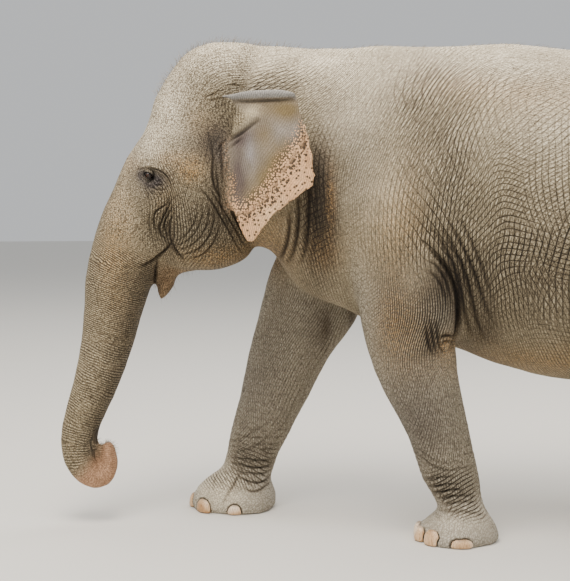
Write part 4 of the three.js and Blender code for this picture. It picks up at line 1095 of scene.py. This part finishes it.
# eyes
eyeSetup = {"look": (-0.22, 1.0, -0.1), "corneaRise": 0.0016, "corneaReach": 30}  # metres and degrees
eyeGloss, tree = newMaterial("wet cornea over an amber iris")  # glossy and dark, amber round the pupil
gaze = addNode(tree, "ShaderNodeAttribute", {"attribute_name": "gaze"}).outputs["Fac"]
spokes = addNode(tree, "ShaderNodeAttribute", {"attribute_name": "spoke"}).outputs["Vector"]
fibres = addNode(tree, "ShaderNodeTexNoise", {"Scale": 9.0, "Detail": 4.0, "Vector": spokes})
wobble = addNode(
    tree, "ShaderNodeMath", {"operation": "MULTIPLY_ADD", 0: fibres.outputs["Fac"], 1: 0.05, 2: gaze}
)
tone = addNode(tree, "ShaderNodeValToRGB", {
    "stops": [
        (0.0, "#030202"), (0.155, "#040303"), (0.175, "#3b2213"), (0.27, "#4d2c16"),
        (0.36, "#2c1a0e"), (0.405, "#0f0906"), (0.47, "#1c1512"), (0.8, "#2b221d"),
    ],
    "Fac": wobble.outputs[0],
})
dress(tree, {
    "Base Color": tone.outputs["Color"], "Roughness": 0.12, "IOR": 1.38, "Coat Weight": 0.4,
    "Coat Roughness": 0.03,
})
for name, sign in (("left", -1), ("right", 1)):
    low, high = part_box(f"eye_{name}")
    middle = (low + high) / 2
    radius = (high.z - low.z) / 2
    bpy.ops.object.select_all(action="DESELECT")
    bpy.ops.mesh.primitive_uv_sphere_add(segments=64, ring_count=48, radius=radius, location=middle)
    ball = bpy.context.object
    ball.name = f"eyeball_{name}"
    bpy.ops.object.transform_apply(location=True)
    look = np.array(eyeSetup["look"]) * np.array([1, sign, 1])
    look /= np.linalg.norm(look)
    spots = readPoints(ball.data) - np.array(middle)
    away = np.arccos(np.clip(spots @ look / radius, -1, 1))
    bulge = np.exp(-((away / math.radians(eyeSetup["corneaReach"])) ** 2))
    spots += look * (eyeSetup["corneaRise"] * bulge)[:, None]
    writePoints(ball.data, spots + np.array(middle))
    writeMask(ball.data, "gaze", away)
    across = np.cross(look, [0, 0, 1])
    flatPlace = np.stack([spots @ across, spots @ np.cross(across, look), np.zeros(len(spots))], 1)
    flatPlace /= np.linalg.norm(flatPlace, axis=1, keepdims=True) + 1e-6
    writePlaces(ball.data, "spoke", flatPlace)
    ball.data.materials.append(eyeGloss)
    activate(ball)
    bpy.ops.object.shade_smooth()
    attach(ball, "root")
    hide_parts(f"eye_{name}")
print("eyes are done")

# nails
nailSetup = {"voxel": 0.0034, "soften": 7, "grow": 0.0008, "lift": 0.001, "cuticle": 0.012, "worn": 0.008}
keratin, tree = newMaterial("worn toenail keratin")  # pale pinkish horn, faintly ridged and streaked, darker at the top edge and towards the ground
place = addNode(tree, "ShaderNodeTexCoord", {}).outputs["Object"]
streakPlace = addNode(tree, "ShaderNodeMapping", {"Scale": (260.0, 260.0, 40.0), "Vector": place})
streaks = addNode(
    tree, "ShaderNodeTexNoise", {"Scale": 1.0, "Detail": 3.0, "Vector": streakPlace.outputs[0]}
).outputs["Fac"]
each = addNode(tree, "ShaderNodeTexNoise", {"Scale": 9.0, "Detail": 1.0, "Vector": place})
horn = addNode(tree, "ShaderNodeValToRGB", {
    "stops": [(0.38, "#f4dfc4"), (0.5, "#e2bf96"), (0.62, "#c09566")], "Fac": each.outputs["Fac"],
})
spread = addNode(tree, "ShaderNodeMapRange", {0: streaks, 1: 0.45, 2: 0.7, 4: 0.8})
stained = addNode(tree, "ShaderNodeMix", {
    "data_type": "RGBA", "blend_type": "MULTIPLY", 0: spread.outputs[0], 6: horn.outputs["Color"], 7: "#b79b78",
})
rim = addNode(tree, "ShaderNodeAttribute", {"attribute_name": "rim"})
edged = addNode(
    tree, "ShaderNodeMix", {"data_type": "RGBA", 0: rim.outputs["Fac"], 6: stained.outputs[2], 7: "#5d4a36"}
)
ridges = addNode(tree, "ShaderNodeBump", {"Strength": 0.6, "Distance": 0.0008, "Height": streaks})
dress(tree, {"Base Color": edged.outputs[2], "Roughness": 0.42, "Normal": ridges.outputs["Normal"]})
for name in nailNodes:
    nailPiece = copyOfNode(name, nailSetup["grow"])
    nailPiece.name = name.replace("nail", "keratin")
    applyModifier(nailPiece, "REMESH", mode="VOXEL", voxel_size=nailSetup["voxel"], adaptivity=0.0)
    spots = soften(readPoints(nailPiece.data), nearTable(nailPiece.data), nailSetup["soften"])
    level = np.maximum(spots[:, 2], nailSetup["lift"])
    spots[:, 2] = level
    writePoints(nailPiece.data, spots)
    top = level.max()
    # the nail is made darker along its top edge and towards the ground
    cuticle = 0.55 * smoothStep(level, top - nailSetup["cuticle"], top - nailSetup["lift"])
    worn = 0.5 * (1 - smoothStep(level, nailSetup["lift"], nailSetup["worn"]))
    writeMask(nailPiece.data, "rim", cuticle + worn)
    nailPiece.data.materials.append(keratin)
    activate(nailPiece)
    bpy.ops.object.shade_smooth()
    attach(nailPiece, "root")
    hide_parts(name)
print("nails are done")

# hair: solid tapered strands, each one a small patch of the hide's own map
bristles = {}
for name, grain, rough, stops in (
    ("stiff black elephant bristle", 60.0, 0.45, [(0.35, "#16120f"), (0.65, "#3a2d22")]),  # with a dull shine
    # brown at the root, straw at the end
    ("sparse sun-bleached bristle", 90.0, 0.5, [(0.3, "#57483a"), (0.6, "#9c8a6c"), (0.8, "#d6c8a8")]),
):
    bristles[name], tree = newMaterial(name)
    place = addNode(tree, "ShaderNodeTexCoord", {}).outputs["Object"]
    each = addNode(tree, "ShaderNodeTexNoise", {"Scale": grain, "Detail": 2.0, "Vector": place})
    tone = addNode(tree, "ShaderNodeValToRGB", {"stops": stops, "Fac": each.outputs["Fac"]})
    dress(tree, {"Base Color": tone.outputs["Color"], "Roughness": rough})
blackHair, paleHair = bristles.values()


def hideMap(root):  # where a root lies on the unwrap of the hide: its left half, then its right half
    low, high = cadBox
    share = (root[0] - low[0]) / (high[0] - low[0])
    return 0.02 + 0.46 * share + (0.5 if root[1] > 0 else 0), 0.02 + 0.94 * root[2] / high[2]


def strandMesh(name, strands, sides, material):  # strands: list of (path points, root width), in metres
    corners, faces, maps = [], [], []
    for path, width in strands:
        path = np.array(path)
        u, v = hideMap(path[0])
        last = len(path) - 1
        way = path[-1] - path[0]
        first = np.cross(way, [0.3, 0.2, 0.9])
        first /= np.linalg.norm(first) + 1e-9
        second = np.cross(way, first)
        second /= np.linalg.norm(second) + 1e-9
        base = len(corners)
        for k, spot in enumerate(path):
            thick = width / 2 * (1 - 0.85 * (k / last) ** 1.3)
            for j in range(sides):
                turn = 2 * math.pi * j / sides
                corners.append(spot + thick * (math.cos(turn) * first + math.sin(turn) * second))
        loops = [
            [(k, j), (k, j + 1), (k + 1, j + 1), (k + 1, j)] for k in range(last) for j in range(sides)
        ]
        loops += [[(0, j) for j in reversed(range(sides))], [(last, j) for j in range(sides)]]
        for loop in loops:
            faces.append(tuple(base + k * sides + j % sides for k, j in loop))
            maps += [(u + 0.003 * j / sides, v + 0.003 * k / last) for k, j in loop]
    mesh = bpy.data.meshes.new(name)
    mesh.from_pydata([tuple(c) for c in corners], [], faces)
    layer = mesh.uv_layers.new(name="OFBake")
    layer.data.foreach_set("uv", np.array(maps, np.float32).ravel())
    mesh.materials.append(material)
    piece = bpy.data.objects.new(name, mesh)
    scene.collection.objects.link(piece)
    activate(piece)
    bpy.ops.object.shade_smooth()
    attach(piece, "root")
    return piece


# tail tuft: long bristles from the end of the tail, hanging inside the room of its solid
tuftSetup = {"strands": 330, "width": 0.0024, "sides": 4}
dice = np.random.default_rng(7)
tuftSpots = np.array([tuple(v.co) for v in parts["tail_tuft"].data.vertices])
tuftLow, tuftHigh = tuftSpots[:, 2].min(), tuftSpots[:, 2].max()


def tuftRing(level):  # middle and half sizes of the tuft's solid at a height
    weight = np.exp(-(((tuftSpots[:, 2] - level) / 0.035) ** 2)) + 1e-9
    middle = (tuftSpots * weight[:, None]).sum(0) / weight.sum()
    spread = np.sqrt((((tuftSpots - middle) ** 2) * weight[:, None]).sum(0) / weight.sum())
    return np.array([middle[0], middle[1], level]), spread


strands = []
for i in range(tuftSetup["strands"]):
    start = tuftHigh - (tuftHigh - tuftLow) * 0.62 * dice.random() ** 0.9
    end = max(tuftLow + 0.004, start - (tuftHigh - tuftLow) * (0.35 + 0.5 * dice.random()))
    turn = 2 * math.pi * dice.random()
    out = 0.35 + 0.75 * dice.random()
    path = []
    for k in range(6):
        share = k / 5
        level = start + (end - start) * share
        middle, spread = tuftRing(level)
        away = (0.45 + (out - 0.45) * min(1, 1.6 * share)) * np.array([math.cos(turn), math.sin(turn), 0])
        path.append(middle + away * spread * np.array([1.25, 1.25, 0]))
    strands.append((path, tuftSetup["width"] * (0.7 + 0.6 * dice.random())))
tuft = strandMesh("tail_tuft_bristles", strands, tuftSetup["sides"], blackHair)
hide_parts("tail_tuft")

# thin scattered hairs: crown, back, chin, and the bristles of the trunk tip
points = readPoints(skin.data)
normals = readNormals(skin.data)
places = toAnimal(points)
patches = {
    "crown_hairs": {  # box in mm, how many, length, width, which way they lie
        "low": (-620, -350, 1950), "high": (60, 350, 2400), "many": 1500, "length": 0.040, "width": 0.0011,
        "lean": (0.35, 0, 0.1), "up": 0.5, "material": paleHair,
    },
    "back_hairs": {
        "low": (60, -500, 2130), "high": (2300, 500, 2400), "many": 1700, "length": 0.026, "width": 0.0010,
        "lean": (0.8, 0, 0.0), "up": 0.5, "material": paleHair,
    },
    "chin_hairs": {
        "low": (-680, -140, 1120), "high": (-420, 140, 1340), "many": 150, "length": 0.022, "width": 0.0009,
        "lean": (0.1, 0, -0.8), "up": -2, "material": paleHair,
    },
    "trunk_tip_bristles": {
        "low": (-935, -75, 330), "high": (-800, 75, 420), "many": 260, "length": 0.022, "width": 0.0011,
        "lean": (0.3, 0, 0.5), "up": -2, "material": paleHair,
    },
}
for name, patch in patches.items():
    chosen = ((places > patch["low"]) & (places < patch["high"])).all(1) & (normals[:, 2] > patch["up"] - 0.3)
    if name in ("crown_hairs", "back_hairs"):
        chosen &= readMask(skin.data, "ear") < 0.2
    chosen = np.nonzero(chosen)[0]
    strands = []
    for i in dice.choice(chosen, min(patch["many"], len(chosen)), replace=False):
        way = normals[i] * 0.7 + np.array(patch["lean"]) + dice.normal(0, 0.18, 3)
        way /= np.linalg.norm(way)
        length = patch["length"] * (0.5 + dice.random())
        droop = np.array([0, 0, -0.25 * length])
        root = points[i] - normals[i] * 0.001
        path = [root + way * length * share + droop * share ** 2 for share in (0, 0.4, 0.75, 1)]
        strands.append((path, patch["width"]))
    strandMesh(name, strands, 3, patch["material"])

# lashes along the upper lids
lashSetup = {"many": 34, "length": 17, "width": 0.0009}
strands = []
for sign in (-1, 1):
    for i in range(lashSetup["many"]):
        share = (i + 0.5) / lashSetup["many"] * 2 - 1
        alongLid, aboveLid = share * lidSetup["half"], lidSetup["upper"] * (1 - abs(share) ** 1.8) + 1.0
        lid = np.array([
            eyePlace["x"] + alongLid * math.cos(slant) - aboveLid * math.sin(slant),
            sign * (eyePlace["y"] + 23 - 7 * share ** 2),
            eyePlace["z"] + alongLid * math.sin(slant) + aboveLid * math.cos(slant),
        ])
        way = np.array([0.35 * share - 0.1, sign * 0.9, -0.35]) + dice.normal(0, 0.08, 3)
        way /= np.linalg.norm(way)
        length = lashSetup["length"] * (0.7 + 0.5 * dice.random())
        path = [toModel(lid + way * length * t + np.array([0, 0, -3.0]) * t * t) for t in (0, 0.35, 0.7, 1)]
        strands.append((path, lashSetup["width"]))
strandMesh("eyelashes", strands, 3, blackHair)
print("hair is done")
